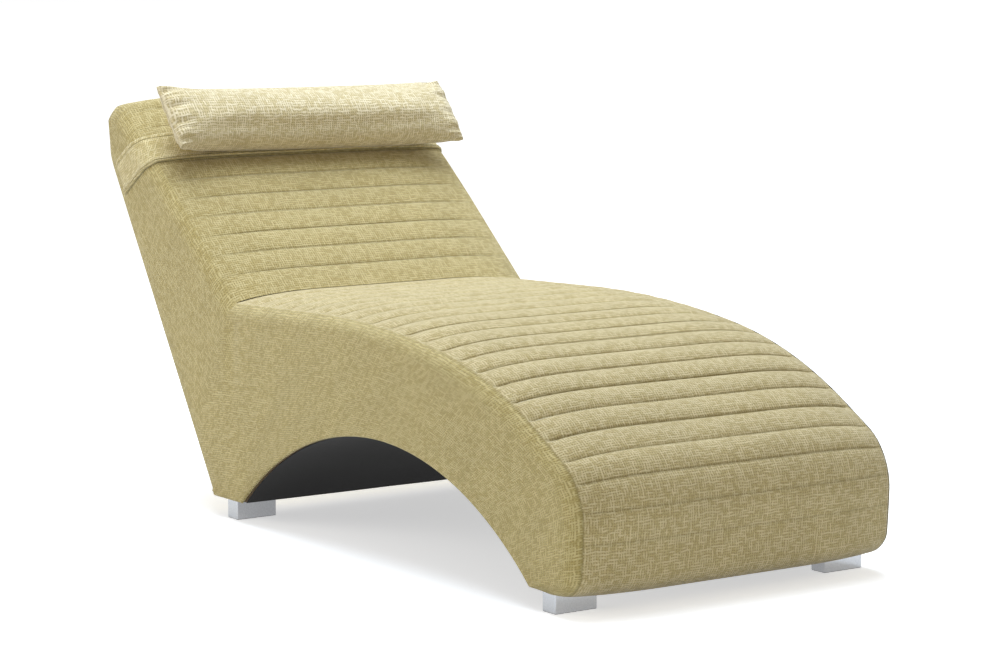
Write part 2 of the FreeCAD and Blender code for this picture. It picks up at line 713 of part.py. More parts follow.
def arch_layer(outer, inner, low_z, limit):
    """Curved sheet along the arch under the seat."""
    edges = []
    ends = []
    for depth, side in ((outer, -1), (inner, 1)):
        start = Vec(arch_x(low_z, depth, side), -limit, low_z)
        end = Vec(arch_x(low_z, depth, -side), -limit, low_z)
        crest = Vec(ARCH_X, -limit, ARCH_Z + ARCH_R + depth)
        edges.append(Part.Arc(start, crest, end).toShape())
        ends.append((start, end))
    edges.insert(1, Part.makeLine(ends[0][1], ends[1][0]))
    edges.append(Part.makeLine(ends[1][1], ends[0][0]))
    return plate(Part.Wire(edges), 2 * limit)


def base_span(where, z, arch_depth):
    """Ends in X of the flat base at a height, between the arch and the soft layers."""
    if where == "rear":
        line = drawn_in(REAR, BACK_BOARD_OUT)
        return crossing(line, ((0.0, z), (1.0, 0.0)))[0], arch_x(z, arch_depth, -1)
    return arch_x(z, arch_depth, 1), TOE_END[0] - CLEAR


def base_layer(where, outer, inner, arch_depth, limit):
    """Flat sheet or board over the rear or front base, bored for the foot bolts."""
    low, high = BASE + outer, BASE + inner
    first = base_span(where, low, arch_depth)
    last = base_span(where, high, arch_depth)
    corners = [(first[0], low), (first[1], low), (last[1], high), (last[0], high)]
    points = [Vec(x, -limit, z) for x, z in corners]
    sheet = plate(Part.makePolygon(points + points[:1]), 2 * limit)
    holes = []
    for side in (1, -1):
        start = Vec(foot_x(where), side * FOOT_Y, low - CLEAR)
        holes.append(Part.makeCylinder(BOLT_R + CLEAR, high - low + 2 * CLEAR, start))
    return sheet.cut(holes)


def foot_x(where):
    if where == "rear":
        return (HEEL_X + arch_x(BASE, 0.0, -1)) / 2
    return arch_x(BASE, 0.0, 1) + FRONT_FOOT_GAP + FOOT_DEPTH / 2


FOOT_Y = HALF - FOOT_INSET - FOOT_LENGTH / 2


def block(x, y, z, depth, length, height, radius=0.0):
    """Upright block around a point on its base, with rounded upright edges."""
    solid = Part.makeBox(depth, length, height, Vec(x - depth / 2, y - length / 2, z))
    if radius > 0:
        upright = [edge for edge in solid.Edges if abs(edge.tangentAt(edge.FirstParameter).z) > 0.5]
        solid = solid.makeFillet(radius, upright)
    return solid


def foot(x, y):
    """Block foot of chromed tube, open at both ends."""
    height = FOOT_HEIGHT - GLIDE_LIP
    outside = block(x, y, GLIDE_LIP, FOOT_DEPTH, FOOT_LENGTH, height, FOOT_EDGE_R)
    inside = block(x, y, 0.0, FOOT_DEPTH - 2 * FOOT_WALL, FOOT_LENGTH - 2 * FOOT_WALL, FOOT_HEIGHT + 1)
    return outside.cut(inside)


def inside_tube(x, y, z, height):
    """Block that fits in a foot's tube."""
    gap = 2 * (FOOT_WALL + CLEAR)
    return block(x, y, z, FOOT_DEPTH - gap, FOOT_LENGTH - gap, height)


def foot_plate(x, y):
    hole = Part.makeCylinder(BOLT_R + CLEAR, FOOT_HEIGHT, Vec(x, y, CLEAR))
    return inside_tube(x, y, FOOT_HEIGHT - FOOT_PLATE, FOOT_PLATE).cut(hole)


def glide(x, y):
    """Plastic plug in the foot of the tube; its lip stands on the floor."""
    lip = block(x, y, 0.0, FOOT_DEPTH - FOOT_EDGE_R, FOOT_LENGTH - FOOT_EDGE_R, GLIDE_LIP)
    plug = inside_tube(x, y, GLIDE_LIP, GLIDE_PLUG)
    gap = 2 * (FOOT_WALL + CLEAR + GLIDE_WALL)
    hollow = block(x, y, GLIDE_LIP + GLIDE_WALL, FOOT_DEPTH - gap, FOOT_LENGTH - gap, GLIDE_PLUG)
    return lip.fuse(plug.cut(hollow)).removeSplitter()


NUT_BASE_Z = BASE + BASE_BOARD_IN


def bolt(x, y):
    """Foot bolt: its hexagon head lies under the foot's plate, its end in the nut."""
    head_z = FOOT_HEIGHT - FOOT_PLATE - BOLT_HEAD
    corners = []
    for turn in range(6):
        run = direction(60 * turn)
        corners.append(Vec(x + BOLT_HEAD_R * run[0], y + BOLT_HEAD_R * run[1], head_z))
    head = Part.Face(Part.makePolygon(corners + corners[:1])).extrude(Vec(0, 0, BOLT_HEAD))
    shank_z = head_z + BOLT_HEAD
    shank = Part.makeCylinder(BOLT_R, NUT_BASE_Z + NUT_HEIGHT - shank_z, Vec(x, y, shank_z))
    return head.fuse(shank).removeSplitter()


def plate_nut(x, y):
    """Square nut on top of the base board."""
    flange = block(x, y, NUT_BASE_Z, NUT_WIDTH, NUT_WIDTH, NUT_HEIGHT)
    bore = Part.makeCylinder(BOLT_R + CLEAR, NUT_HEIGHT, Vec(x, y, NUT_BASE_Z))
    return flange.cut(bore)


# Head pillow, placed by its distance up the backrest and off its face
UP_RUN = (-BACK[1][0], -BACK[1][1])
BAND_OFF = CLEAR + BAND_THICKNESS
PILLOW_REST = BAND_OFF + CLEAR


def on_back(up, off, y):
    x = CREASE[0] + UP_RUN[0] * up + BACK_NORMAL[0] * off
    z = CREASE[1] + UP_RUN[1] * up + BACK_NORMAL[1] * off
    return Vec(x, y, z)


def pillow_row(y, height, thickness, lift, rest):
    """Points of the pillow's plump section, leaning off the backrest and flat on its band."""
    lean = direction(PILLOW_LEAN)
    middle = PILLOW_REST + PILLOW_THICKNESS / 2 + lift
    points = []
    for side in range(PILLOW_SIDES):
        along, over = direction(360 * side / PILLOW_SIDES)
        along = math.copysign(abs(along) ** PILLOW_FULLNESS, along) * height / 2
        over = math.copysign(abs(over) ** PILLOW_FULLNESS, over) * thickness / 2
        up = PILLOW_REACH + along * lean[0] - over * lean[1]
        off = middle + along * lean[1] + over * lean[0]
        points.append(on_back(up, max(off, rest), y))
    return points


def faceted(rows):
    """Closed solid of flat triangles through rows of points, with flat ends."""
    facets = [rows[0], rows[-1]]
    for row, next_row in zip(rows, rows[1:]):
        for k, point in enumerate(row):
            facets.append([row[k - 1], point, next_row[k]])
            facets.append([row[k - 1], next_row[k], next_row[k - 1]])
    shell = Part.makeShell([Part.Face(Part.makePolygon(facet + facet[:1])) for facet in facets])
    shell.sewShape()
    solid = Part.makeSolid(shell)
    if solid.Volume < 0:
        solid.reverse()
    return solid


def pillow_form(skin, end_gap):
    """Pillow's outer shape, or its inside when a skin is taken off all round."""
    half = []
    for reach, thickness, height, lift in PILLOW_STATIONS:
        y = reach * (PILLOW_LENGTH / 2 - end_gap)
        deep = max(thickness * PILLOW_THICKNESS - 2 * skin, PILLOW_SKIN / 2)
        half.append((y, height * PILLOW_HEIGHT - 2 * skin, deep, lift * PILLOW_END_LIFT))
    stations = [(-y, *size) for y, *size in reversed(half[1:])] + half
    return faceted([pillow_row(*station, PILLOW_REST + skin) for station in stations])


def pillow_cover():
    return pillow_form(0.0, 0.0).cut(pillow_form(PILLOW_SKIN, PILLOW_SEAM))


def pillow_filling():
    return pillow_form(PILLOW_SKIN + CLEAR, PILLOW_SEAM + CLEAR)


def band_envelope(off, reach):
    """Backrest grown by a gap, between two planes along the band's edges."""
    run = direction(BAND_TILT)
    middle = on_back(BAND_REACH, 0, 0)
    cuts = []
    for side in (-1, 1):
        normal = outward(run)
        point = (middle.x + normal[0] * side * reach, middle.z + normal[1] * side * reach)
        cuts.append((point, run))
    stretch = (HALF + off) / HALF
    half = [(y * stretch, drop, 0.0) for y, drop in across(TOP_SEAM_Y) if y > 0]
    half.append((HALF + off, EDGE_DROP + QUILT, REAR_EDGE_DROP))
    stations = [(-y, drop, rear) for y, drop, rear in reversed(half)] + half
    wires = []
    for y, drop, rear in stations:
        front_line = drawn_in(BACK, drop - off)
        rear_line = drawn_in(REAR, rear - off)
        spots = [
            crossing(cuts[0], rear_line),
            crossing(cuts[1], rear_line),
            crossing(cuts[1], front_line),
            crossing(cuts[0], front_line),
        ]
        points = [Vec(x, y, z) for x, z in spots]
        wires.append(Part.makePolygon(points + points[:1]))
    return Part.makeLoft(wires, True, True)


def headrest_band():
    """Elastic band in one loop round the backrest, under the pillow."""
    return band_envelope(BAND_OFF, BAND_WIDTH / 2).cut(band_envelope(CLEAR, BAND_WIDTH))


def write(name, shape):
    """Checks a piece and writes it as its own file."""
    if not shape.isValid() or shape.Volume <= 0:
        raise ValueError(name + " is not a sound solid")
    shape.exportStep("parts/" + name + ".step")


def main():
    frames = rail_frames()
    for frame in frames:
        write(frame[0], rail(frame))
    for word, side in (("left", 1), ("right", -1)):
        write("side_frame_" + word, side_frame(side, frames))
        write("side_pad_" + word, side_pad(side))
        write("cover_side_" + word, cover_side(side))

    write("back_board", back_board())
    write("toe_board", toe_board())
    write("arch_board", arch_layer(ARCH_BOARD_OUT, ARCH_BOARD_IN, BASE + BASE_BOARD_OUT, PAD_OUT_Y))
    write("arch_lining", arch_layer(0.0, LINING, BASE, PAD_OUT_Y))
    write("back_webbing", straps(BACK_PATH, BACK_STRAP_MARKS))
    write("seat_webbing", straps(SEAT_PATH, SEAT_STRAP_MARKS))
    write("foam_head", foam_head())
    write("foam_back", foam_back())
    write("foam_seat", foam_seat())
    write("rear_pad", rear_pad())
    write("cover_back", cover_back())
    write("cover_seat", cover_seat())
    write("cover_rear", cover_rear())

    plates, bolts, nuts, glides = [], [], [], []
    for where in ("front", "rear"):
        board = base_layer(where, BASE_BOARD_OUT, BASE_BOARD_IN, FRAME_ARCH, BOARD_OUT_Y)
        write("base_board_" + where, board)
        write("base_lining_" + where, base_layer(where, 0.0, LINING, ARCH_BOARD_OUT, PAD_OUT_Y))
        for word, side in (("left", 1), ("right", -1)):
            x, y = foot_x(where), side * FOOT_Y
            write("foot_" + where + "_" + word, foot(x, y))
            plates.append(foot_plate(x, y))
            glides.append(glide(x, y))
            bolts.append(bolt(x, y))
            nuts.append(plate_nut(x, y))
    write("foot_plates", Part.makeCompound(plates))
    write("foot_bolts", Part.makeCompound(bolts))
    write("foot_nuts", Part.makeCompound(nuts))
    write("foot_glides", Part.makeCompound(glides))

    write("headrest_band", headrest_band())
    write("pillow_cover", pillow_cover())
    write("pillow_filling", pillow_filling())


main()
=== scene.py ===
import math

import bmesh
import bpy
import numpy as np
from mathutils import Matrix


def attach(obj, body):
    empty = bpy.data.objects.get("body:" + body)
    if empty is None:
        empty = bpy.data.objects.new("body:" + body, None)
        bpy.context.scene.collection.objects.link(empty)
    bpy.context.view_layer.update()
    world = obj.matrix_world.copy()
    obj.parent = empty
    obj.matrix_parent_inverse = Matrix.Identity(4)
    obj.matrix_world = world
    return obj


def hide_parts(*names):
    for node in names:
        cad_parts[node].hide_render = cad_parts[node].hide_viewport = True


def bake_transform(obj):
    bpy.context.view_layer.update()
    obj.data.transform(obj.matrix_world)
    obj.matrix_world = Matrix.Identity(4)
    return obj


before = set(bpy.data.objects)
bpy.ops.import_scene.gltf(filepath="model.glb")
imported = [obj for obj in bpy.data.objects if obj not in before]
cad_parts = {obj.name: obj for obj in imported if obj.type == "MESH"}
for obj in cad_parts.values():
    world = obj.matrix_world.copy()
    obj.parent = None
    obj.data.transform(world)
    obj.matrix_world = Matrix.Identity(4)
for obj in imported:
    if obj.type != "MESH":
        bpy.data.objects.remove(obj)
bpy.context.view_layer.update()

# Upholstered lounger in metres: X from head (-) to toe (+), Y across, Z up from the floor.
# Shapes are walked along the side outline, in (x, z), with the outside on the left.

# Side outline
HEAD_X = -0.83
TOE_X = 0.83
BASE = 0.04
HALF = 0.36
CREASE = np.array((-0.326, 0.454))
HEEL = np.array((-0.405, BASE))
BACK_ANGLE = math.radians(39.4)
HEAD_ROLL_R = 0.042
HEAD_SEAM_STEP = 0.005
BEND_DROP = 0.067
BEND_SHARE = 0.65
FRAME_CREST = np.array((0.164, 0.467))
FRAME_KNEE = np.array((0.52, 0.4))
# The filling of the seat stands a little above the frame's own line
CREST = np.array((0.164, 0.47))
KNEE = np.array((0.55, 0.412))
CREST_SHARE = 0.497
KNEE_SHARE = 0.472
# The toe is fullest at half its height and draws in towards the base
TOE_BULGE = 0.009
TOE_TUCK = 0.012
TOE_TOP = np.array((TOE_X + TOE_BULGE, 0.24))
TOE_TOP_R = 0.135
TOE_LOW = np.array((TOE_X - TOE_TUCK, -0.005))
TOE_LOW_R = 0.052
TOE_END = np.array((0.743, BASE))
ARCH_X = 0.192
ARCH_HALF = 0.486
ARCH_RISE = 0.192

# Quilting of the top covers: first and last seam, their number, puff and stitch depth
BACK_FIRST = 0.063
BACK_LAST = 0.056
BACK_SEAMS = 11
SEAT_FIRST = 0.059
SEAT_LAST = 0.052
SEAT_SEAMS = 22
SEAT_PUFF = 0.0065
BACK_PUFF = 0.003
STITCH = 0.0013
STITCH_WIDTH = 0.002
CHANNEL_ROWS = 14
CHANNEL_POWER = 2.4  # of the dip from a channel's crown to its seam
CHANNEL_FULLNESS = (0.85, 1.12)  # the channels differ a little
OPEN_END_DIP = 0.4  # share of the dip at the ends of a cover, which have no quilting seam
SEAM_STRAY = 0.0009
LAYER_ROWS = 120
# The last seams fade over the toe, by this share
FADING_SEAMS = 5
TOE_FADE = 0.75
# The seams fade between these distances from the middle of the width
SEAT_FADE = (0.33, 0.348)
BACK_FADE = (0.25, 0.345)
EDGE_FADE = 0.85

# Rolled edges: width of the roll and its fall, towards the sides and towards the rear
TOP_ROLL = 0.2
TOP_FALL = 0.03
BACK_FALL = 0.02
HEAD_FALL = 0.036
REAR_ROLL = 0.045
REAR_FALL = 0.011
HEAD_BLEND = 0.09
TOE_FALL_SHARE = 0.7
TOE_FALL_START = 0.1  # before the toe's face
TOE_UNDER_START = 0.03  # past the start of the toe's lower turn
TOE_UNDER_FADE = 0.85
# The backrest's fall changes at these lengths: two from the head seam, one before the crease
HEAD_FALL_END = 0.12
BACK_FALL_START = 0.3
BACK_FALL_END = 0.25

# Side covers: their seams lie a little in from the side, and the edge is rounded over this reach
SEAM_Y = 0.348
REAR_SEAM_Y = 0.36
SIDE_Y = 0.3635
EDGE_ROUND = 0.035
SIDE_SWELL = 0.001
HEM_R = 0.005
PINCH = 0.002
PINCH_WIDTH = 0.004
PINCH_START = 0.1
REAR_NARROWING = 0.08
SWELL_TOP = 0.08
SWELL_FOOT = 0.05
# Soft fold in the side below the crease: its place, its size and the heights over which it fades
CREASE_FOLD_STEP = 0.004
CREASE_FOLD_DEPTH = 0.003
CREASE_FOLD_WIDTH = 0.02
CREASE_FOLD_TOP = (0.38, 0.43)
CREASE_FOLD_FOOT = (0.2, 0.36)

# Layers under the covers, as depths below them
FOAM_OUT = 0.0083
FOAM_DEPTH = 0.04
HEAD_FOAM_DEPTH = 0.03
STRAP_DEPTH = 0.0489
STRAP_WIDTH = 0.05
STRAP_HALF = 0.32
STRAP_CLEARANCE = 0.0004
STRAP_RIB = 0.0003
STRAP_ROWS = 15
WEBBING = 0.0006  # cloth of a strap, to which its ribs add
# Straps of the back and the seat: how far the first and last lie from the ends, and their number
BACK_STRAP_ENDS = (0.028, 0.095)
BACK_STRAP_COUNT = 5
SEAT_STRAP_ENDS = (0.075, 0.18)
SEAT_STRAP_COUNT = 12
PAD_OUT_Y = 0.3517
SIDE_PAD = 0.012
REAR_PAD = 0.005
PAD_CLEARANCE = 0.0005
PAD_EDGE = 0.004  # the wadding stays this far inside the rounded edge
LAYER_END = 0.004  # foam and wadding end this far short of the covers' seams
LINING_HALF = 0.3515
LINING_GAP = 0.0004
LINING_SLACK = 0.0012
BASE_LINING_RISE = 0.0012
BASE_LINING_RIPPLE = 0.0003
HEEL_INSET = 0.006
LINING_INSET = 0.002

# Head pillow and its band
PILLOW_HALF = 0.344
PILLOW_UP = 0.434
PILLOW_HEIGHT = 0.156
PILLOW_THICKNESS = 0.1
PILLOW_LEAN = math.radians(11.0)
PILLOW_END_LIFT = 0.018
PILLOW_REST = 0.0045
PILLOW_ASIDE = 0.011  # it lies a little off the middle
PILLOW_SKEW = 0.0065  # and a little crooked
PILLOW_TUCK = 0.014  # its lower edge lies close to the backrest
PILLOW_RISE = 0.01
PILLOW_SAG = 0.02
PILLOW_WAIST = 0.8  # share of its height that is left in the middle
PILLOW_GATHER = 0.006
PILLOW_PRESSURE = 2.5
PILLOW_SWELL = 0.016  # furthest that the pressure may push the cloth
HELD_END = 0.008
HELD_UNDER = 0.006
FILLING_SHARE = 0.9
FILLING_LENGTH = 0.97
# Fold along the pillow's lower front: its place below the middle, and where it fades
FOLD_BELOW = 0.045
FOLD_STRAY = 0.005
FOLD_DEPTH = 0.005
FOLD_WIDTH = 0.009
FOLD_ENDS = (0.24, 0.33)
FOLD_FRONT = (0.015, 0.035)
BAND_WIDTH = 0.078
BAND_UP = 0.432
BAND_TILT = math.radians(34.5)


def unit(vector):
    return vector / np.linalg.norm(vector)


def outward(run):
    return np.stack((-run[..., 1], run[..., 0]), axis=-1)


def smooth(value, low, high):
    """Smooth step from 0 at low to 1 at high."""
    share = np.clip((value - low) / (high - low), 0.0, 1.0)
    return share * share * (3 - 2 * share)


def hump(value, width):
    """1 at zero, falling off over a width on both sides."""
    return np.exp(-((value / width) ** 2))


class Path:
    """Straight stretches joined by arcs, walked by length."""

    def __init__(self, corners):
        self.pieces = []
        start = np.array(corners[0][:2])
        for before, corner, after in zip(corners, corners[1:], corners[2:]):
            point = np.array(corner[:2])
            run = unit(point - np.array(before[:2]))
            next_run = unit(np.array(after[:2]) - point)
            turn = math.atan2(run[0] * next_run[1] - run[1] * next_run[0], run @ next_run)
            cut = corner[2] * math.tan(abs(turn) / 2)
            stop = point - run * cut
            self.pieces.append((np.linalg.norm(stop - start), start, run, 0.0))
            self.pieces.append((corner[2] * abs(turn), stop, run, math.copysign(1 / corner[2], turn)))
            start = point + next_run * cut
        end = np.array(corners[-1][:2])
        self.pieces.append((np.linalg.norm(end - start), start, unit(end - start), 0.0))
        self.joints = np.concatenate(([0.0], np.cumsum([piece[0] for piece in self.pieces])))
        self.length = self.joints[-1]

    def at(self, lengths):
        """Points and outward normals at lengths along the path."""
        lengths = np.asarray(lengths, float)
        points = np.zeros(lengths.shape + (2,))
        normals = np.zeros(lengths.shape + (2,))
        last = len(self.pieces) - 1
        index = np.clip(np.searchsorted(self.joints, lengths, side="right") - 1, 0, last)
        for number, (_, start, run, bend) in enumerate(self.pieces):
            chosen = index == number
            reach = lengths[chosen] - self.joints[number]
            normal = outward(run)
            angle = reach * bend
            along = np.sin(angle) / bend if bend else reach
            across = (1 - np.cos(angle)) / bend if bend else 0 * reach
            points[chosen] = start + along[:, None] * run + across[:, None] * normal
            turned = np.cos(angle)[:, None] * run + np.sin(angle)[:, None] * normal
            normals[chosen] = outward(turned)
        return points, normals


def corner_radius(cut, before, corner, after):
    """Radius that takes a length off both stretches of a corner."""
    turn = math.acos(unit(corner - before) @ unit(after - corner))
    return cut / math.tan(turn / 2)


UP_RUN = np.array((-math.cos(BACK_ANGLE), math.sin(BACK_ANGLE)))
BACK_NORMAL = np.array((math.sin(BACK_ANGLE), math.cos(BACK_ANGLE)))
HEAD_TOP = CREASE + UP_RUN * (CREASE[0] - HEAD_X) / math.cos(BACK_ANGLE)
HEAD_TANGENT = HEAD_ROLL_R / math.tan((math.pi / 2 - BACK_ANGLE) / 2)
HEAD_SEAM = np.array((HEAD_X, HEAD_TOP[1] - HEAD_TANGENT - HEAD_SEAM_STEP))
REAR_BEND = HEAD_SEAM - np.array((0.0, BEND_DROP))
REAR_BEND_R = corner_radius(BEND_DROP * BEND_SHARE, HEEL, REAR_BEND, HEAD_SEAM)
ARCH_R = (ARCH_HALF**2 + ARCH_RISE**2) / (2 * ARCH_RISE)
ARCH_Z = BASE + ARCH_RISE - ARCH_R
ARCH_TURN = math.asin(ARCH_HALF / ARCH_R)

REAR_PATH = Path([HEEL, (*REAR_BEND, REAR_BEND_R), HEAD_SEAM])
BACK_PATH = Path([HEAD_SEAM, (*HEAD_TOP, HEAD_ROLL_R), CREASE])


def seat_path(crest, knee):
    """Side line of the seat, from the crease over its crest and knee and round the toe."""
    run = np.linalg.norm(knee - crest)
    return Path(
        [
            CREASE,
            (*crest, corner_radius(run * CREST_SHARE, CREASE, crest, knee)),
            (*knee, corner_radius(run * KNEE_SHARE, crest, knee, TOE_TOP)),
            (*TOE_TOP, TOE_TOP_R),
            (*TOE_LOW, TOE_LOW_R),
            TOE_END,
        ]
    )


SEAT_PATH = seat_path(CREST, KNEE)
FRAME_PATH = seat_path(FRAME_CREST, FRAME_KNEE)
TOE_FACE, TOE_TURN = SEAT_PATH.joints[-4:-2]
BACK_MARKS = np.linspace(BACK_LAST, BACK_PATH.length - BACK_FIRST, BACK_SEAMS)
SEAT_MARKS = np.linspace(SEAT_FIRST, TOE_TURN - SEAT_LAST, SEAT_SEAMS)
BACK_PITCH = BACK_MARKS[1] - BACK_MARKS[0]
SEAT_PITCH = SEAT_MARKS[1] - SEAT_MARKS[0]
HEAD_FOAM_END = BACK_MARKS[2]

# Both covers meet on the line that halves the crease, and turn into it over a reach
SEAT_NORMAL = SEAT_PATH.at(np.array([0.0]))[1][0]
MITRE = (BACK_NORMAL + SEAT_NORMAL) / (1 + BACK_NORMAL @ SEAT_NORMAL)
MITRE_REACH = 0.07


def head_share(lengths):
    """How far the head roll has passed from the rear's edge to the front's."""
    return smooth(lengths, 0.0, HEAD_BLEND)


def toe_share(lengths):
    """The side roll grows shallower over the toe and runs out under it."""
    share = 1 - (1 - TOE_FALL_SHARE) * smooth(lengths, TOE_FACE - TOE_FALL_START, TOE_TURN)
    return share * (1 - TOE_UNDER_FADE * smooth(lengths, TOE_TURN + TOE_UNDER_START, SEAT_PATH.length))


def fall(width, roll, depth):
    """Fall of a rolled edge at distances from the middle of the width."""
    share = np.clip((width - (HALF - roll)) / roll, 0.0, 1.0)
    return depth * (1 - np.sqrt(1 - share**2))


def back_falls(lengths, edge):
    """Falls of the back cover, deeper at the head and towards the crease."""
    share = head_share(lengths)
    stops = (0.0, HEAD_FALL_END, BACK_FALL_START, BACK_PATH.length - BACK_FALL_END, BACK_PATH.length)
    depth = np.interp(lengths, stops, (HEAD_FALL, HEAD_FALL, BACK_FALL, BACK_FALL, TOP_FALL))
    return share * depth * fall(edge, TOP_ROLL, 1.0) + (1 - share) * fall(edge, REAR_ROLL, REAR_FALL)


def seat_falls(lengths, edge):
    return toe_share(lengths) * fall(edge, TOP_ROLL, TOP_FALL)


def rear_falls(lengths, edge):
    return fall(edge, REAR_ROLL, REAR_FALL) + 0 * lengths


def inward(path, lengths):
    """Directions in which depth is measured along a path, turned into the mitre at the crease."""
    _, normals = path.at(lengths)
    if path is SEAT_PATH:
        near = smooth(MITRE_REACH - lengths, 0.0, MITRE_REACH)
    elif path is BACK_PATH:
        near = smooth(lengths - path.length + MITRE_REACH, 0.0, MITRE_REACH)
    else:
        near = 0 * lengths
    return -(normals * (1 - near[..., None]) + MITRE * near[..., None])


def under(path, lengths, depths):
    """Points at depths under a path."""
    points, _ = path.at(lengths)
    return points + inward(path, lengths) * depths[..., None]


def solid_points(flat, y):
    """Points in space from points in the side plane and places across the width."""
    return np.stack((flat[..., 0], np.broadcast_to(y, flat.shape[:-1]), flat[..., 1]), axis=-1)


def grid(name, points, cloth, weld=False):
    """Smooth mesh of quads through rows of points, with cloth coordinates in metres as its UV map."""
    rows, columns = points.shape[:2]
    numbers = np.arange(rows * columns).reshape(rows, columns)
    quads = np.stack((numbers[:-1, :-1], numbers[1:, :-1], numbers[1:, 1:], numbers[:-1, 1:]), axis=-1)
    quads = quads.reshape(-1, 4)
    mesh = bpy.data.meshes.new(name)
    mesh.from_pydata(points.reshape(-1, 3).tolist(), [], quads.tolist())
    layer = mesh.uv_layers.new(name="cloth")
    layer.data.foreach_set("uv", cloth.reshape(-1, 2)[quads.ravel()].ravel())
    if weld:
        work = bmesh.new()
        work.from_mesh(mesh)
        bmesh.ops.remove_doubles(work, verts=work.verts, dist=1e-5)
        work.to_mesh(mesh)
        work.free()
    mesh.polygons.foreach_set("use_smooth", [True] * len(mesh.polygons))
    piece = bpy.data.objects.new(name, mesh)
    bpy.context.scene.collection.objects.link(piece)
    return piece


def thicken(piece, thickness):
    """Gives a sheet its thickness on the inside."""
    layer = piece.modifiers.new("thickness", "SOLIDIFY")
    layer.thickness = thickness
    layer.offset = -1.0
    return piece


def wander(values, seed, scale):
    """Slow smooth variation between about -1 and 1 along a row of numbers."""
    source = np.random.default_rng(seed)
    total = np.zeros_like(values)
    for wave in range(1, 5):
        total += np.sin(values * wave * scale + source.uniform(0, 2 * math.pi)) / wave
    return total / 2


def widths(roll):
    """Places across the width, closer together where the edge rolls and at its seam."""
    start = HALF - roll
    near = SEAM_Y - 0.014
    middle = np.linspace(0.0, start, 14)
    rolling = np.linspace(start, near, 22)[1:]
    half = np.concatenate((middle, rolling, np.linspace(near, SEAM_Y, 10)[1:]))
    return np.concatenate((-half[:0:-1], half))


def rounded_side(reach, seam=SEAM_Y):
    """Distance of a side from the middle of the width, at a reach from its seam."""
    share = np.clip(reach / EDGE_ROUND, 0.0, 1.0)
    return SIDE_Y - (SIDE_Y - seam) * (1 - share) ** 2


def rear_half(lengths):
    """Half width of the rear cover, which narrows to the top cover's at the head seam."""
    share = smooth(lengths, REAR_PATH.length - REAR_NARROWING, REAR_PATH.length)
    return REAR_SEAM_Y - (REAR_SEAM_Y - SEAM_Y) * share


def seam_pull(seat_lengths):
    """The side seam draws the cloth in most over the toe, and not at all on the backrest."""
    return PINCH * smooth(seat_lengths, PINCH_START, TOE_FACE)


def edge_pinch(edge):
    """Share of that pull at places across the top cover, largest at its edge."""
    return hump(SEAM_Y - edge, PINCH_WIDTH)


def quilted_cover(name, path, marks, depth, falls, fading, pull, seed):
    """Top cover with sewn channels that fade where the edge rolls down."""
    across = widths(TOP_ROLL)
    edge = np.abs(across)
    stops = np.concatenate(([0.0], marks, [path.length]))
    source = np.random.default_rng(seed)
    # Each seam strays a little from its straight line, but the cover's ends do not
    stray = np.array([SEAM_STRAY * wander(across, seed + number, 5.0) for number in range(len(stops))])
    stray[[0, -1]] = 0.0
    fullness = source.uniform(*CHANNEL_FULLNESS, len(stops))
    rows = []
    dips = []
    for number, (low, high) in enumerate(zip(stops, stops[1:])):
        count = CHANNEL_ROWS * max(1, round((high - low) / SEAT_PITCH))
        turn = np.arange(count) / count
        share = (1 - np.cos(math.pi * turn)) / 2
        if number == len(stops) - 2:
            share = np.append(share, 1.0)
        length = low + (high - low) * share[:, None] + stray[number] * (1 - share[:, None])
        length = length + stray[number + 1] * share[:, None]
        rows.append(length)
        valley = np.abs(2 * share - 1) ** CHANNEL_POWER * fullness[number]
        near = np.minimum(share, 1 - share) * (high - low)
        inner_end = (number == 0) & (share < 0.5)
        outer_end = (number == len(stops) - 2) & (share > 0.5)
        open_end = inner_end | outer_end
        stitch = STITCH / SEAT_PUFF * hump(near, STITCH_WIDTH)
        dips.append(np.where(open_end, OPEN_END_DIP * valley, valley + stitch))
    lengths = np.concatenate(rows)
    dip = np.concatenate(dips)[:, None] * depth(lengths)
    fade = 1 - EDGE_FADE * smooth(edge, *fading)
    drop = falls(lengths, edge[None, :])
    flat = under(path, lengths, drop + dip * fade + edge_pinch(edge) * pull(lengths))
    cloth = np.stack(np.broadcast_arrays(cloth_run(across)[None, :], lengths), axis=-1)
    return grid(name, solid_points(flat, across[None, :]), cloth)


def cloth_run(across):
    """Lengths along the cloth from one side seam over the crown to the other."""
    steps = np.hypot(np.diff(across), np.diff(fall(np.abs(across), TOP_ROLL, TOP_FALL)))
    return np.concatenate(([0.0], np.cumsum(steps)))


CLOTH_HALF = cloth_run(widths(TOP_ROLL))[-1] / 2


def no_pull(lengths):
    return 0 * lengths


def back_depth(lengths):
    return BACK_PUFF + 0 * lengths


def seat_depth(lengths):
    """Depth of the seat's seams, which fades over the toe."""
    last = SEAT_MARKS[-1]
    faded = smooth(lengths, last - FADING_SEAMS * SEAT_PITCH, last + 0.4 * SEAT_PITCH)
    plain_end = smooth(lengths, last + 0.1 * SEAT_PITCH, last + SEAT_PITCH)
    return SEAT_PUFF * (1 - TOE_FADE * faded) * (1 - plain_end)


def layer_sheet(name, path, start, end, depth, falls, limit, roll):
    """Plain layer that follows a path at a depth, below a rolled edge."""
    lengths = np.linspace(start, end, LAYER_ROWS)[:, None]
    across = widths(roll)
    drop = falls(lengths, np.abs(across)[None, :])
    flat = under(path, lengths + 0 * drop, drop + depth)
    cloth = np.stack(np.broadcast_arrays(across[None, :], lengths), axis=-1)
    return grid(name, solid_points(flat, across[None, :] * limit / SEAM_Y), cloth)


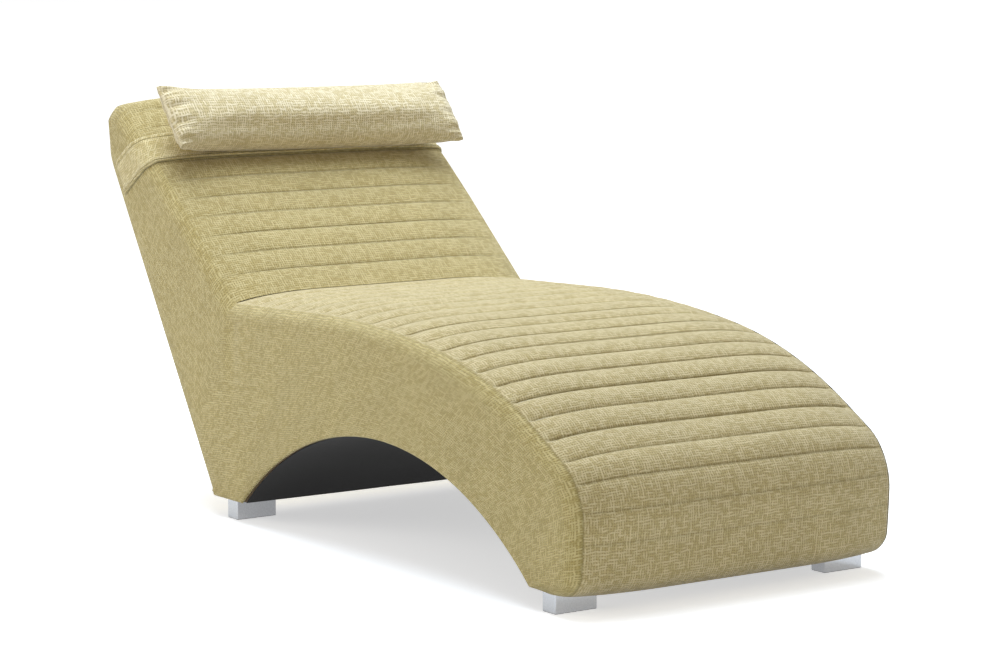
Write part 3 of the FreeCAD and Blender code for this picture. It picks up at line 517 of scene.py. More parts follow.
def side_upper(share):
    """Side panel's upper border, from the rear head seam over the head and down to the toe."""
    reach = share * (BACK_PATH.length + SEAT_PATH.length)
    on_back = reach <= BACK_PATH.length
    back = np.clip(reach, 0.0, BACK_PATH.length)
    seat = np.clip(reach - BACK_PATH.length, 0.0, SEAT_PATH.length)
    from_back = under(BACK_PATH, back, back_falls(back, SEAM_Y))
    from_seat = under(SEAT_PATH, seat, seat_falls(seat, SEAM_Y))
    return np.where(on_back[:, None], from_back, from_seat)


HEEL_LENGTH = ARCH_X - ARCH_HALF - HEEL[0]
TOE_LENGTH = TOE_END[0] - ARCH_X - ARCH_HALF
LOWER_STOPS = np.cumsum([0.0, REAR_PATH.length, HEEL_LENGTH, 2 * ARCH_TURN * ARCH_R, TOE_LENGTH])


def side_lower(share):
    """Side panel's lower border, from the rear head seam down the rear, the base and the arch."""
    reach = share * LOWER_STOPS[-1]
    rear_at = np.clip(REAR_PATH.length - reach, 0.0, REAR_PATH.length)
    rear = under(REAR_PATH, rear_at, rear_falls(rear_at, SEAM_Y))
    heel = np.stack((HEEL[0] + np.clip(reach - LOWER_STOPS[1], 0.0, HEEL_LENGTH), 0 * reach + BASE), axis=-1)
    angle = np.clip((reach - LOWER_STOPS[2]) / ARCH_R, 0.0, 2 * ARCH_TURN) - ARCH_TURN
    arch = np.stack((ARCH_X + ARCH_R * np.sin(angle), ARCH_Z + ARCH_R * np.cos(angle)), axis=-1)
    toe_x = TOE_END[0] - TOE_LENGTH + np.clip(reach - LOWER_STOPS[3], 0.0, None)
    toe = np.stack((toe_x, 0 * reach + BASE), axis=-1)
    chosen = np.searchsorted(LOWER_STOPS[1:-1], reach, side="left")
    return np.choose(chosen[:, None], [rear, heel, arch, toe])


# Places that lie opposite each other on the side panel's borders, as shares of their lengths
SIDE_PAIRS = np.array(
    [
        (0.0, 0.0),
        (0.1, 0.1),
        (0.2, 0.22),
        (0.315, 0.352),
        (0.45, 0.48),
        (0.57, 0.64),
        (0.75, 0.81),
        (0.93, 0.95),
        (1.0, 1.0),
    ]
)


def side_borders(count):
    """Upper and lower border points of a side, opposite each other, and the shares they are at."""
    progress = np.linspace(0.0, 1.0, count)
    keys = np.linspace(0.0, 1.0, len(SIDE_PAIRS))
    high = np.interp(progress, keys, SIDE_PAIRS[:, 0])
    low = np.interp(progress, keys, SIDE_PAIRS[:, 1])
    return side_upper(high), side_lower(low), high, low


def crease_fold(x, z):
    """Depth of the soft fold in a side below the crease."""
    fold = CREASE_FOLD_DEPTH * hump(x - CREASE[0] - CREASE_FOLD_STEP, CREASE_FOLD_WIDTH)
    low, high = CREASE_FOLD_TOP
    return fold * smooth(-z, -high, -low) * smooth(z, *CREASE_FOLD_FOOT)


def side_panel(name, side):
    """Plain side cover between the borders, swelling a little in its middle."""
    upper, lower, high, low = side_borders(420)
    top_rows = np.linspace(0.0, 0.05, 11)
    middle_rows = np.concatenate((np.linspace(0.05, 0.16, 10)[1:], np.linspace(0.16, 0.9, 28)[1:]))
    rows = np.concatenate((top_rows, middle_rows, np.linspace(0.9, 1.0, 14)[1:]))
    flat = upper[None] + (lower - upper)[None] * rows[:, None, None]
    tall = np.linalg.norm(lower - upper, axis=-1)
    reach = tall[None, :] * rows[:, None]
    left = tall[None, :] * (1 - rows[:, None])
    swell = SIDE_SWELL * smooth(reach, 0.0, SWELL_TOP) * smooth(left, 0.0, SWELL_FOOT)
    # The hem turns in along the base and the arch, and is sewn on along the rear
    hem = smooth(low * LOWER_STOPS[-1], LOWER_STOPS[1] - 0.01, LOWER_STOPS[1])[None, :]
    turn = np.clip(1 - left / HEM_R, 0.0, 1.0)
    rear_seam = rear_half(np.maximum(0.0, REAR_PATH.length - low * LOWER_STOPS[-1]))[None, :]
    y = np.minimum(rounded_side(reach), np.where(hem > 0, SIDE_Y, rounded_side(left, rear_seam)))
    y = y + swell - hem * HEM_R * (1 - np.sqrt(1 - turn**2))
    on_seat = (high * (BACK_PATH.length + SEAT_PATH.length) - BACK_PATH.length)[None, :]
    y = y - seam_pull(on_seat) * hump(reach, PINCH_WIDTH)
    y = y - crease_fold(flat[..., 0], flat[..., 1])
    cloth = np.stack(((high * (BACK_PATH.length + SEAT_PATH.length))[None, :] + 0 * reach, reach), axis=-1)
    points = solid_points(flat, side * y)
    if side > 0:
        points = points[::-1]
        cloth = cloth[::-1]
    return grid(name, points, cloth)


def side_wadding(name, side):
    """Sheet of wadding behind a side cover."""
    upper, lower, _, _ = side_borders(200)
    upper, lower = upper[4:-16], lower[4:-16]
    rows = np.linspace(0.04, 0.96, 24)
    flat = upper[None] + (lower - upper)[None] * rows[:, None, None]
    tall = np.linalg.norm(lower - upper, axis=-1)
    near = np.minimum(rows, 1 - rows)[:, None] * tall[None, :]
    y = np.minimum(PAD_OUT_Y - PAD_CLEARANCE, rounded_side(near) - PAD_EDGE)
    points = solid_points(flat, side * y)
    cloth = flat.copy()
    if side > 0:
        points = points[::-1]
        cloth = cloth[::-1]
    return thicken(grid(name, points, cloth), SIDE_PAD - 2 * PAD_CLEARANCE)


def arch_sheet():
    """Lining stapled under the arch, a little slack between its edges."""
    angle = np.linspace(-ARCH_TURN, ARCH_TURN, 90)[:, None]
    across = np.linspace(-LINING_HALF, LINING_HALF, 60)[None, :]
    slack = LINING_SLACK * (1 - (across / LINING_HALF) ** 2)
    ripple = wander(angle * 6.0 + across * 2.0, 5, 3.0) * wander(across + 0 * angle, 6, 8.0)
    radius = ARCH_R - LINING_GAP - slack * (1 + ripple)
    flat = np.stack((ARCH_X + radius * np.sin(angle), ARCH_Z + radius * np.cos(angle)), axis=-1)
    cloth = np.stack(np.broadcast_arrays(across, angle * ARCH_R), axis=-1)
    return grid("arch_lining_cloth", solid_points(flat, across)[::-1], cloth[::-1])


def base_sheet(name, low, high):
    """Lining under one end of the base."""
    along = np.linspace(low, high, 24)[:, None]
    across = np.linspace(-LINING_HALF, LINING_HALF, 60)[None, :]
    height = BASE + BASE_LINING_RISE + BASE_LINING_RIPPLE * wander(along * 3.0 + across, 9, 20.0)
    points = np.stack(np.broadcast_arrays(along, across, height), axis=-1)
    cloth = np.stack(np.broadcast_arrays(across, along), axis=-1)
    return grid(name, points[::-1], cloth[::-1])


def straps(name, path, marks):
    """Webbing straps across the frame, each ribbed along its length."""
    places = np.linspace(-STRAP_WIDTH / 2, STRAP_WIDTH / 2, STRAP_ROWS)
    rib = STRAP_RIB * np.cos(np.arange(STRAP_ROWS) * math.pi)[:, None]
    across = np.linspace(-STRAP_HALF, STRAP_HALF, 40)[None, :]
    pieces = []
    for mark in marks:
        lengths = (mark + places)[:, None] + 0 * across
        flat = under(path, lengths, STRAP_DEPTH + STRAP_CLEARANCE + rib + 0 * across)
        cloth = np.stack(np.broadcast_arrays(across, lengths), axis=-1)
        pieces.append(thicken(grid(name, solid_points(flat, across), cloth), WEBBING))
    return join(pieces)


def join(pieces):
    """One object from several made alike."""
    work = bmesh.new()
    for piece in pieces:
        work.from_mesh(piece.data)
    work.to_mesh(pieces[0].data)
    work.free()
    for piece in pieces[1:]:
        bpy.data.objects.remove(piece)
    return pieces[0]


def pillow_place(along, over, y):
    """Points on the backrest from places in the leaning section of the pillow."""
    up = PILLOW_UP + along * math.cos(PILLOW_LEAN) - over * math.sin(PILLOW_LEAN)
    off = PILLOW_REST + PILLOW_THICKNESS / 2 + along * math.sin(PILLOW_LEAN) + over * math.cos(PILLOW_LEAN)
    up = up - PILLOW_SKEW * y / PILLOW_HALF
    return CREASE + UP_RUN * up[..., None] + BACK_NORMAL * off[..., None]


def pillow_mesh():
    """Pillow before it is filled, with its ends gathered into upright seams."""
    shares = np.sin(np.linspace(-1.0, 1.0, 141) * math.pi / 2)[:, None]
    turns = np.linspace(0.0, 2 * math.pi, 97)[None, :]
    end = np.abs(shares)
    thick = PILLOW_THICKNESS * np.maximum(1 - end**6, 0.0004) ** 0.55
    tall = PILLOW_HEIGHT * (PILLOW_WAIST + (1 - PILLOW_WAIST) * end**6)
    lift = PILLOW_END_LIFT * end**4
    along = np.sign(np.cos(turns)) * np.abs(np.cos(turns)) ** 0.8 / 2 * tall
    low_edge = smooth(-along / PILLOW_HEIGHT, 0.1, 0.4) * (1 - end**4)
    over = np.sign(np.sin(turns)) * np.abs(np.sin(turns)) ** 0.65 / 2 * thick
    over = over + lift - PILLOW_TUCK * low_edge
    gather = smooth(end, 0.82, 0.96) * (1 - smooth(end, 0.98, 1.0))
    folds = wander(along * 60.0 + np.sign(shares), 21, 2.6)
    over = over + PILLOW_GATHER * gather * folds * np.sign(np.sin(turns))
    y = shares * PILLOW_HALF + 0 * turns
    # The filling sinks, so the front is fullest near its lower edge
    sag = PILLOW_SAG * np.maximum(0.0, np.sin(turns)) * (1 - end**4)
    flat = pillow_place(along - sag + PILLOW_RISE * (1 - end**4), over, y)
    cloth = np.stack((y, PILLOW_HEIGHT * 0.42 * turns + 0 * y), axis=-1)
    piece = grid("pillow_cloth", solid_points(flat, y + PILLOW_ASIDE), cloth, weld=True)
    work = bmesh.new()
    work.from_mesh(piece.data)
    bmesh.ops.holes_fill(work, edges=[edge for edge in work.edges if edge.is_boundary], sides=0)
    bmesh.ops.recalc_face_normals(work, faces=work.faces)
    work.to_mesh(piece.data)
    work.free()
    return piece


def coordinates(mesh):
    values = np.zeros(len(mesh.vertices) * 3)
    mesh.vertices.foreach_get("co", values)
    return values.reshape(-1, 3)


def above_back(points):
    """Distance of points in front of the backrest's plane."""
    return (points[:, [0, 2]] - CREASE) @ BACK_NORMAL


def fill_pillow(piece):
    """Blows the pillow up with simulated cloth, its end seams and its underside held."""
    start = coordinates(piece.data)
    at_end = np.abs(start[:, 1] - PILLOW_ASIDE) > PILLOW_HALF - HELD_END
    underneath = above_back(start) < PILLOW_REST + HELD_UNDER
    group = piece.vertex_groups.new(name="held")
    group.add(np.flatnonzero(at_end | underneath).tolist(), 1.0, "REPLACE")
    cloth = piece.modifiers.new("cloth", "CLOTH")
    cloth.settings.use_pressure = True
    cloth.settings.uniform_pressure_force = PILLOW_PRESSURE
    cloth.settings.vertex_group_mass = "held"
    cloth.settings.effector_weights.gravity = 0.0
    for number in range(1, 21):
        bpy.context.scene.frame_set(number)
    evaluated = piece.evaluated_get(bpy.context.evaluated_depsgraph_get())
    moved = coordinates(evaluated.data) - start
    piece.modifiers.remove(cloth)
    piece.vertex_groups.clear()
    bpy.context.scene.frame_set(1)
    reach = np.linalg.norm(moved, axis=1, keepdims=True)
    points = start + moved * np.minimum(1.0, PILLOW_SWELL / np.maximum(reach, 1e-9))
    piece.data.vertices.foreach_set("co", points.ravel())
    piece.data.update()


def pillow_settle(piece):
    """Presses a fold along the pillow's lower front, and keeps it clear of the band and the backrest."""
    points = coordinates(piece.data)
    up = (points[:, [0, 2]] - CREASE) @ UP_RUN - PILLOW_UP
    aside = points[:, 1] - PILLOW_ASIDE
    fold = hump(up + FOLD_BELOW + FOLD_STRAY * wander(aside, 31, 6.0), FOLD_WIDTH)
    fold = fold * (1 - smooth(np.abs(aside), *FOLD_ENDS))
    fold = FOLD_DEPTH * fold * smooth(above_back(points), *FOLD_FRONT)
    points[:, 0] -= BACK_NORMAL[0] * fold
    points[:, 2] -= BACK_NORMAL[1] * fold
    short = np.maximum(0.0, PILLOW_REST - above_back(points))
    points[:, 0] += BACK_NORMAL[0] * short
    points[:, 2] += BACK_NORMAL[1] * short
    piece.data.vertices.foreach_set("co", points.ravel())
    piece.data.update()


def pillow_filling(cover):
    """Wadding inside the pillow: its cover's form drawn in towards its middle line."""
    piece = cover.copy()
    piece.data = cover.data.copy()
    piece.name = "pillow_wadding"
    piece.data.name = "pillow_wadding"
    bpy.context.scene.collection.objects.link(piece)
    points = coordinates(piece.data)
    y = points[:, 1] - PILLOW_ASIDE
    end = np.abs(y) / PILLOW_HALF
    middle = pillow_place(PILLOW_RISE * (1 - end**4), PILLOW_END_LIFT * end**4, y)
    points[:, [0, 2]] = middle + (points[:, [0, 2]] - middle) * FILLING_SHARE
    points[:, 1] = PILLOW_ASIDE + y * FILLING_LENGTH
    piece.data.vertices.foreach_set("co", points.ravel())
    piece.data.update()
    return piece


def band_loop(width_place):
    """Loop of the band round the backrest at one place across its width."""
    run = np.array((math.cos(BAND_TILT), math.sin(BAND_TILT)))
    middle = CREASE + UP_RUN * BAND_UP + outward(run) * width_place
    rear_normal = outward(unit(REAR_BEND - HEEL))
    front_y = np.linspace(HALF - TOP_ROLL, SEAM_Y, 16)
    from_head = BACK_PATH.length - (middle - CREASE) @ UP_RUN
    front = (-back_falls(from_head, front_y) - (middle - CREASE) @ BACK_NORMAL) / (run @ BACK_NORMAL)
    rear_y = np.linspace(HALF - REAR_ROLL, SEAM_Y, 10)
    rear = (-fall(rear_y, REAR_ROLL, REAR_FALL) - (middle - HEEL) @ rear_normal) / (run @ rear_normal)
    flat_front = np.linspace(0.0, HALF - TOP_ROLL, 10)[:-1]
    flat_rear = np.linspace(HALF - REAR_ROLL, 0.0, 16)[1:]
    side = (1 - np.cos(np.linspace(0.0, math.pi, 34)[1:-1])) / 2
    on_side = front[-1] + (rear[-1] - front[-1]) * side
    from_front = (front[-1] - on_side) * (run @ BACK_NORMAL)
    from_rear = (rear[-1] - on_side) * (run @ rear_normal)
    side_y = np.minimum(rounded_side(from_front), rounded_side(from_rear))
    side_y = side_y + SIDE_SWELL * smooth(side, 0.0, 0.3)
    reach = np.concatenate((0 * flat_front + front[0], front, on_side, rear[::-1], 0 * flat_rear + rear[0]))
    y = np.concatenate((flat_front, front_y, side_y, rear_y[::-1], flat_rear))
    half = np.stack((reach, y), axis=-1)
    loop = np.concatenate((half, (half * (1, -1))[-2::-1]))
    tangent = np.gradient(loop, axis=0)
    normal = np.stack((tangent[:, 1], -tangent[:, 0]), axis=-1)
    normal = normal / np.linalg.norm(normal, axis=1, keepdims=True)
    return middle, run, loop, normal


# Section of the band: place across its width from the lower edge, and height above the cover.
# The lower edge is a rolled double hem, and a stitch line runs along the upper one.
BAND_SECTION = [
    (0.0, 0.0004),
    (0.0004, 0.0032),
    (0.0016, 0.0052),
    (0.0034, 0.0056),
    (0.0050, 0.0046),
    (0.0058, 0.0028),
    (0.0068, 0.0044),
    (0.0086, 0.0050),
    (0.0102, 0.0040),
    (0.0112, 0.0025),
    (0.0200, 0.0024),
    (0.0400, 0.0024),
    (0.0600, 0.0024),
    (0.0668, 0.0024),
    (0.0684, 0.0014),
    (0.0700, 0.0026),
    (0.0740, 0.0028),
    (0.0772, 0.0024),
    (0.0780, 0.0004),
]


def band():
    """Hemmed band in one loop round the backrest, under the pillow, and its length."""
    rows = []
    cloth = []
    for place, height in BAND_SECTION:
        middle, run, loop, normal = band_loop(place - BAND_WIDTH / 2)
        loop = loop + normal * height
        rows.append(solid_points(middle + loop[:, :1] * run, loop[:, 1]))
        length = np.concatenate(([0.0], np.cumsum(np.linalg.norm(np.diff(loop, axis=0), axis=1))))
        cloth.append(np.stack((length, 0 * length + place), axis=-1))
    return grid("band_cloth", np.array(rows), np.array(cloth), weld=True), length[-1]


# Woven cloth: width of its threads, how they drift and vary, and its colours
THREAD = 0.0052
THREAD_DRIFT = 0.9
SLUBS_PER_METRE = 60.0
NEXT_THREAD = 7.31  # step in the noise, so that neighbouring threads differ
GAP = (0.25, 0.185, 0.055, 1)
DEEP = (0.405, 0.312, 0.11, 1)
MID = (0.52, 0.412, 0.158, 1)
PALE = (0.77, 0.66, 0.34, 1)
# Dark colour of the sewn lines: their thread, with painted shade in the seams' valleys and the band's
# grooves
SEAM_THREAD_AND_SHADE = (0.16, 0.125, 0.04, 1)
GAP_SHARE = 0.5
SLUB_SHARE = 0.5
# Tones of the one cloth per part, which paint light and shade into it: painted sheen, paler and bluer, on
# the seat; painted light on the pillow and the band; painted shade on the back and its head roll. The plain
# tone paints none.
NO_PAINTED_LIGHT = (1.0, 1.0, 1.0)
SEAT_PAINTED_SHEEN = (1.05, 1.05, 1.24)
BACK_PAINTED_SHADE = (0.94, 0.93, 0.96)
PILLOW_PAINTED_LIGHT = (1.27, 1.32, 1.9)
BAND_PAINTED_LIGHT = (1.28, 1.32, 1.58)
CLOTH_SURFACE = {
    "Sheen Weight": 0.3,
    "Sheen Roughness": 0.5,
    "Sheen Tint": (0.94, 0.97, 1.0, 1),
    "Specular IOR Level": 0.2,
}
CLOTH_ROUGHNESS = 0.9
CLOTH_BUMP = 0.0006

# Sewn lines, painted darker for their thread and with painted shade in their valleys and grooves: strength
# and half width, in pitches for the quilting and in metres for the others
SEAT_LINE = 0.65
BACK_LINE = 0.5
EDGE_LINE = 0.6
QUILT_LINE_HALF = 0.08
EDGE_LINE_HALF = 0.003
BAND_LINE_HALF = 0.0016
# Lines along the band, painted shade at its hem's lower edge, in the hem's groove, below its step and in the
# stitch line's groove with its thread: place across its width and strength
BAND_SHADE_LINES = ((0.0, 0.7), (0.0057, 0.6), (0.0112, 0.3), (0.0684, 0.4))


class Shader:
    """Small helper that builds one node material."""

    def __init__(self, name):
        self.material = bpy.data.materials.new(name)
        self.material.use_nodes = True
        self.tree = self.material.node_tree
        self.surface = self.tree.nodes["Principled BSDF"]

    def feed(self, socket, value):
        if isinstance(value, bpy.types.NodeSocket):
            self.tree.links.new(value, socket)
        else:
            socket.default_value = value

    def node(self, kind, settings=None, **values):
        made = self.tree.nodes.new("ShaderNode" + kind)
        for key, value in (settings or {}).items():
            setattr(made, key, value)
        for key, value in values.items():
            self.feed(made.inputs[key.replace("_", " ")], value)
        return made

    def math(self, kind, first, second=0.0):
        made = self.tree.nodes.new("ShaderNodeMath")
        made.operation = kind
        self.feed(made.inputs[0], first)
        self.feed(made.inputs[1], second)
        return made.outputs[0]

    def mix(self, share, first, second, kind="MIX"):
        made = self.tree.nodes.new("ShaderNodeMix")
        made.data_type = "RGBA"
        made.blend_type = kind
        for number, value in ((0, share), (6, first), (7, second)):
            self.feed(made.inputs[number], value)
        return made.outputs[2]

    def flat_noise(self, place, detail):
        """Noise in the plane of the cloth."""
        settings = {"noise_dimensions": "2D"}
        return self.node("TexNoise", settings, Vector=place, Scale=1.0, Detail=detail).outputs[0]

    def cloth_noise(self, cloth, scale, detail=2.0):
        """Noise over the cloth, at a scale per metre each way."""
        mapped = self.node("Mapping", Vector=cloth, Scale=scale)
        return self.flat_noise(mapped.outputs[0], detail)

    def remap(self, value, low, high, first=0.0, last=1.0):
        made = self.node("MapRange", Value=value, From_Min=low, From_Max=high, To_Min=first, To_Max=last)
        return made.outputs[0]

    def set_surface(self, values):
        for name, value in values.items():
            self.surface.inputs[name].default_value = value

    def finish(self, colour, roughness, height, distance):
        bump = self.node("Bump", Height=height, Distance=distance, Strength=1.0)
        self.feed(self.surface.inputs["Base Color"], colour)
        self.feed(self.surface.inputs["Normal"], bump.outputs[0])
        self.feed(self.surface.inputs["Roughness"], roughness)
        return self.material


def seam_shade_lines(shader, cloth, first, pitch, count, fading, strength, middle, fade):
    """How dark evenly spaced seams are painted: their thread and painted shade in their valleys, fading
    towards the sides and the toe.
    """
    place = shader.math("DIVIDE", shader.math("SUBTRACT", cloth[1], first), pitch)
    nearest = shader.math("MINIMUM", shader.math("MAXIMUM", shader.math("ROUND", place), 0.0), count - 1.0)
    gap = shader.math("ABSOLUTE", shader.math("SUBTRACT", place, nearest))
    line = shader.remap(gap, 0.0, QUILT_LINE_HALF, strength, 0.0)
    aside = shader.math("ABSOLUTE", shader.math("SUBTRACT", cloth[0], middle))
    line = shader.math("MULTIPLY", line, shader.remap(aside, *fade, 1.0, 0.2))
    if fading:
        faded = shader.remap(place, count - 1.0 - fading, count - 0.6, 1.0, 0.25)
        line = shader.math("MULTIPLY", line, faded)
    return line


def threads(shader, across, along, drift):
    """Side by side threads: how near their middle a place is, and how pale the thread is there."""
    drifted = shader.math("MULTIPLY", drift, THREAD_DRIFT)
    place = shader.math("ADD", shader.math("DIVIDE", across, THREAD), drifted)
    number = shader.math("FLOOR", place)
    within = shader.math("SUBTRACT", place, number)
    off_middle = shader.math("ABSOLUTE", shader.math("SUBTRACT", within, 0.5))
    profile = shader.remap(off_middle, 0.4, 0.12)
    run = shader.math("MULTIPLY", along, SLUBS_PER_METRE)
    row = shader.math("MULTIPLY", number, NEXT_THREAD)
    slub = shader.flat_noise(shader.node("CombineXYZ", X=run, Y=row).outputs[0], 0.0)
    return profile, shader.math("MULTIPLY", profile, shader.remap(slub, 0.42, 0.66))


def fabric(name, seams=None, edge_seam=False, lines=(), painted_light_tone=NO_PAINTED_LIGHT):
    """Coarse woven upholstery with pale slub threads both ways, darker sewn lines with painted shade, and a
    tone that can paint light or shade into it.
    """
    shader = Shader(name)
    cloth = shader.node("UVMap", {"uv_map": "cloth"}).outputs[0]
    split = shader.node("SeparateXYZ", Vector=cloth)
    patches = shader.cloth_noise(cloth, (14.0, 9.0, 1.0))
    drift = shader.cloth_noise(cloth, (55.0, 55.0, 1.0), 1.0)
    fine = shader.cloth_noise(cloth, (420.0, 420.0, 1.0), 0.0)
    weft, weft_slub = threads(shader, split.outputs[1], split.outputs[0], drift)
    warp, warp_slub = threads(shader, split.outputs[0], split.outputs[1], drift)
    weave = shader.math("MAXIMUM", weft, warp)
    ground = shader.mix(shader.remap(fine, 0.3, 0.7), DEEP, MID)
    gaps = shader.math("SUBTRACT", 1.0, weave)
    colour = shader.mix(shader.math("MULTIPLY", gaps, GAP_SHARE), ground, GAP)
    slubs = shader.math("MAXIMUM", weft_slub, warp_slub)
    colour = shader.mix(shader.math("MULTIPLY", slubs, SLUB_SHARE), colour, PALE)
    # Random patches of tone, scaled by the part's painted light or shade
    low, high = ([share * part for part in painted_light_tone] + [1.0] for share in (0.97, 1.02))
    colour = shader.mix(1.0, colour, shader.mix(shader.remap(patches, 0.3, 0.7), low, high), "MULTIPLY")
    # Painted shade in the quilting seams' valleys, with their thread, fading towards the sides and over the
    # toe
    if seams:
        line = seam_shade_lines(shader, split.outputs, *seams)
        colour = shader.mix(line, colour, SEAM_THREAD_AND_SHADE)
    # Painted shade along the side panel's seam under the rolled edge, with its thread: faint on the
    # backrest, strongest over the toe
    if edge_seam:
        line = shader.remap(split.outputs[1], 0.0, EDGE_LINE_HALF, EDGE_LINE, 0.0)
        toe = shader.remap(split.outputs[0], BACK_PATH.length + 0.5, BACK_PATH.length + TOE_FACE, 0.1, 1.0)
        colour = shader.mix(shader.math("MULTIPLY", line, toe), colour, SEAM_THREAD_AND_SHADE)
    # Painted shade along the band's hem and stitch line
    for place, strength in lines:
        gap = shader.math("ABSOLUTE", shader.math("SUBTRACT", split.outputs[1], place))
        colour = shader.mix(shader.remap(gap, 0.0, BAND_LINE_HALF, strength, 0.0), colour, SEAM_THREAD_AND_SHADE)
    height = shader.math("ADD", weave, shader.math("MULTIPLY", fine, 0.25))
    shader.set_surface(CLOTH_SURFACE)
    return shader.finish(colour, CLOTH_ROUGHNESS, height, CLOTH_BUMP)


def plain(name, dark, light, roughness, scale, metallic=0.0, bump=0.0003, specular=0.5):
    """Finish with a fine grain of two close colours."""
    shader = Shader(name)
    place = shader.node("TexCoord").outputs["Object"]
    grain = shader.node("TexNoise", Vector=place, Scale=scale, Detail=4.0).outputs[0]
    colour = shader.mix(shader.remap(grain, 0.3, 0.7), dark, light)
    shader.set_surface({"Metallic": metallic, "Specular IOR Level": specular})
    rough = shader.remap(grain, 0.0, 1.0, roughness * 0.85, roughness * 1.15)
    return shader.finish(colour, rough, grain, bump)


def timber():
    """Sawn wood with its grain drawn out along X."""
    shader = Shader("timber")
    place = shader.node("TexCoord").outputs["Object"]
    mapped = shader.node("Mapping", Vector=place, Scale=(6.0, 60.0, 60.0))
    noise = shader.node("TexNoise", Vector=mapped.outputs[0], Scale=1.0, Detail=5.0, Distortion=1.2)
    grain = noise.outputs[0]
    colour = shader.mix(shader.remap(grain, 0.3, 0.7), (0.45, 0.27, 0.12, 1), (0.72, 0.52, 0.3, 1))
    return shader.finish(colour, 0.6, grain, 0.0003)


SEAT_QUILTING = (SEAT_FIRST, SEAT_PITCH, SEAT_SEAMS, FADING_SEAMS, SEAT_LINE, CLOTH_HALF, SEAT_FADE)
BACK_QUILTING = (BACK_LAST, BACK_PITCH, BACK_SEAMS, 0, BACK_LINE, CLOTH_HALF, BACK_FADE)
KHAKI = fabric("woven_khaki")
# The seat, back, pillow and band carry painted sheen, light or shade in their tones
KHAKI_SEAT = fabric("woven_khaki_seat", SEAT_QUILTING, painted_light_tone=SEAT_PAINTED_SHEEN)
KHAKI_BACK = fabric("woven_khaki_back", BACK_QUILTING, painted_light_tone=BACK_PAINTED_SHADE)
KHAKI_PILLOW = fabric("woven_khaki_pillow", painted_light_tone=PILLOW_PAINTED_LIGHT)
KHAKI_SIDE = fabric("woven_khaki_side", edge_seam=True)
KHAKI_BAND = fabric("woven_khaki_band", lines=BAND_SHADE_LINES, painted_light_tone=BAND_PAINTED_LIGHT)
CHARCOAL = plain(
    "charcoal_lining", (0.008, 0.008, 0.008, 1), (0.022, 0.021, 0.021, 1), 0.6, 900.0, specular=0.2
)
CHROME = plain("chrome", (0.44, 0.45, 0.47, 1), (0.5, 0.51, 0.53, 1), 0.12, 300.0, 1.0, 0.00002)
ZINC = plain("zinc", (0.45, 0.46, 0.47, 1), (0.62, 0.63, 0.64, 1), 0.35, 500.0, 1.0)
BLACK = plain("black_plastic", (0.015, 0.015, 0.016, 1), (0.03, 0.03, 0.032, 1), 0.5, 800.0)
FOAM = plain("foam", (0.62, 0.55, 0.36, 1), (0.78, 0.72, 0.52, 1), 0.95, 700.0, 0.0, 0.001)
WADDING = plain("wadding", (0.72, 0.72, 0.7, 1), (0.85, 0.85, 0.83, 1), 0.95, 250.0, 0.0, 0.002)
WEBBING_CLOTH = plain("webbing", (0.05, 0.05, 0.05, 1), (0.16, 0.15, 0.13, 1), 0.8, 1200.0)
TIMBER = timber()
PANEL = plain("fibreboard", (0.3, 0.2, 0.11, 1), (0.42, 0.3, 0.18, 1), 0.7, 400.0)


def dress(piece, material, slot, body, *nodes):
    """Gives a piece its material and body, and hides the solids it stands for; the slot is not used."""
    piece.data.materials.clear()
    piece.data.materials.append(material)
    if body:
        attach(piece, body)
    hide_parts(*nodes)


# Covers
seat = quilted_cover(
    "seat_cover_cloth", SEAT_PATH, SEAT_MARKS, seat_depth, seat_falls, SEAT_FADE, seam_pull, 100
)
dress(seat, KHAKI_SEAT, "upholstery", "lounger", "cover_seat")
back = quilted_cover(
    "back_cover_cloth", BACK_PATH, BACK_MARKS, back_depth, back_falls, BACK_FADE, no_pull, 200
)
dress(back, KHAKI_BACK, "upholstery", "lounger", "cover_back")
rear_width = rear_half(np.linspace(0.0, REAR_PATH.length, LAYER_ROWS)[:, None])
rear = layer_sheet(
    "rear_cover_cloth", REAR_PATH, 0.0, REAR_PATH.length, 0.0, rear_falls, rear_width, REAR_ROLL
)
dress(rear, KHAKI, "upholstery", "lounger", "cover_rear")

# Foam and wadding under the covers
foam_pieces = [
    ("foam_seat", SEAT_PATH, LAYER_END, SEAT_PATH.length - LAYER_END, FOAM_DEPTH, seat_falls),
    ("foam_back", BACK_PATH, HEAD_FOAM_END, BACK_PATH.length - LAYER_END, FOAM_DEPTH, back_falls),
    ("foam_head", BACK_PATH, LAYER_END, HEAD_FOAM_END, HEAD_FOAM_DEPTH, back_falls),
]
for node, path, start, end, thickness, falls in foam_pieces:
    foam = layer_sheet(node + "_pad", path, start, end, FOAM_OUT, falls, PAD_OUT_Y, TOP_ROLL)
    thicken(foam, thickness)
    dress(foam, FOAM, "foam", "lounger", node)
rear_end = REAR_PATH.length - LAYER_END
rear_wadding = layer_sheet(
    "rear_wadding", REAR_PATH, LAYER_END, rear_end, FOAM_OUT, rear_falls, PAD_OUT_Y, REAR_ROLL
)
dress(thicken(rear_wadding, REAR_PAD), WADDING, "wadding", "lounger", "rear_pad")
for word, sign in (("left", 1), ("right", -1)):
    panel = side_panel("side_cover_cloth_" + word, sign)
    dress(panel, KHAKI_SIDE, "upholstery", "lounger", "cover_side_" + word)
    wadding = side_wadding("side_wadding_" + word, sign)
    dress(wadding, WADDING, "wadding", "lounger", "side_pad_" + word)

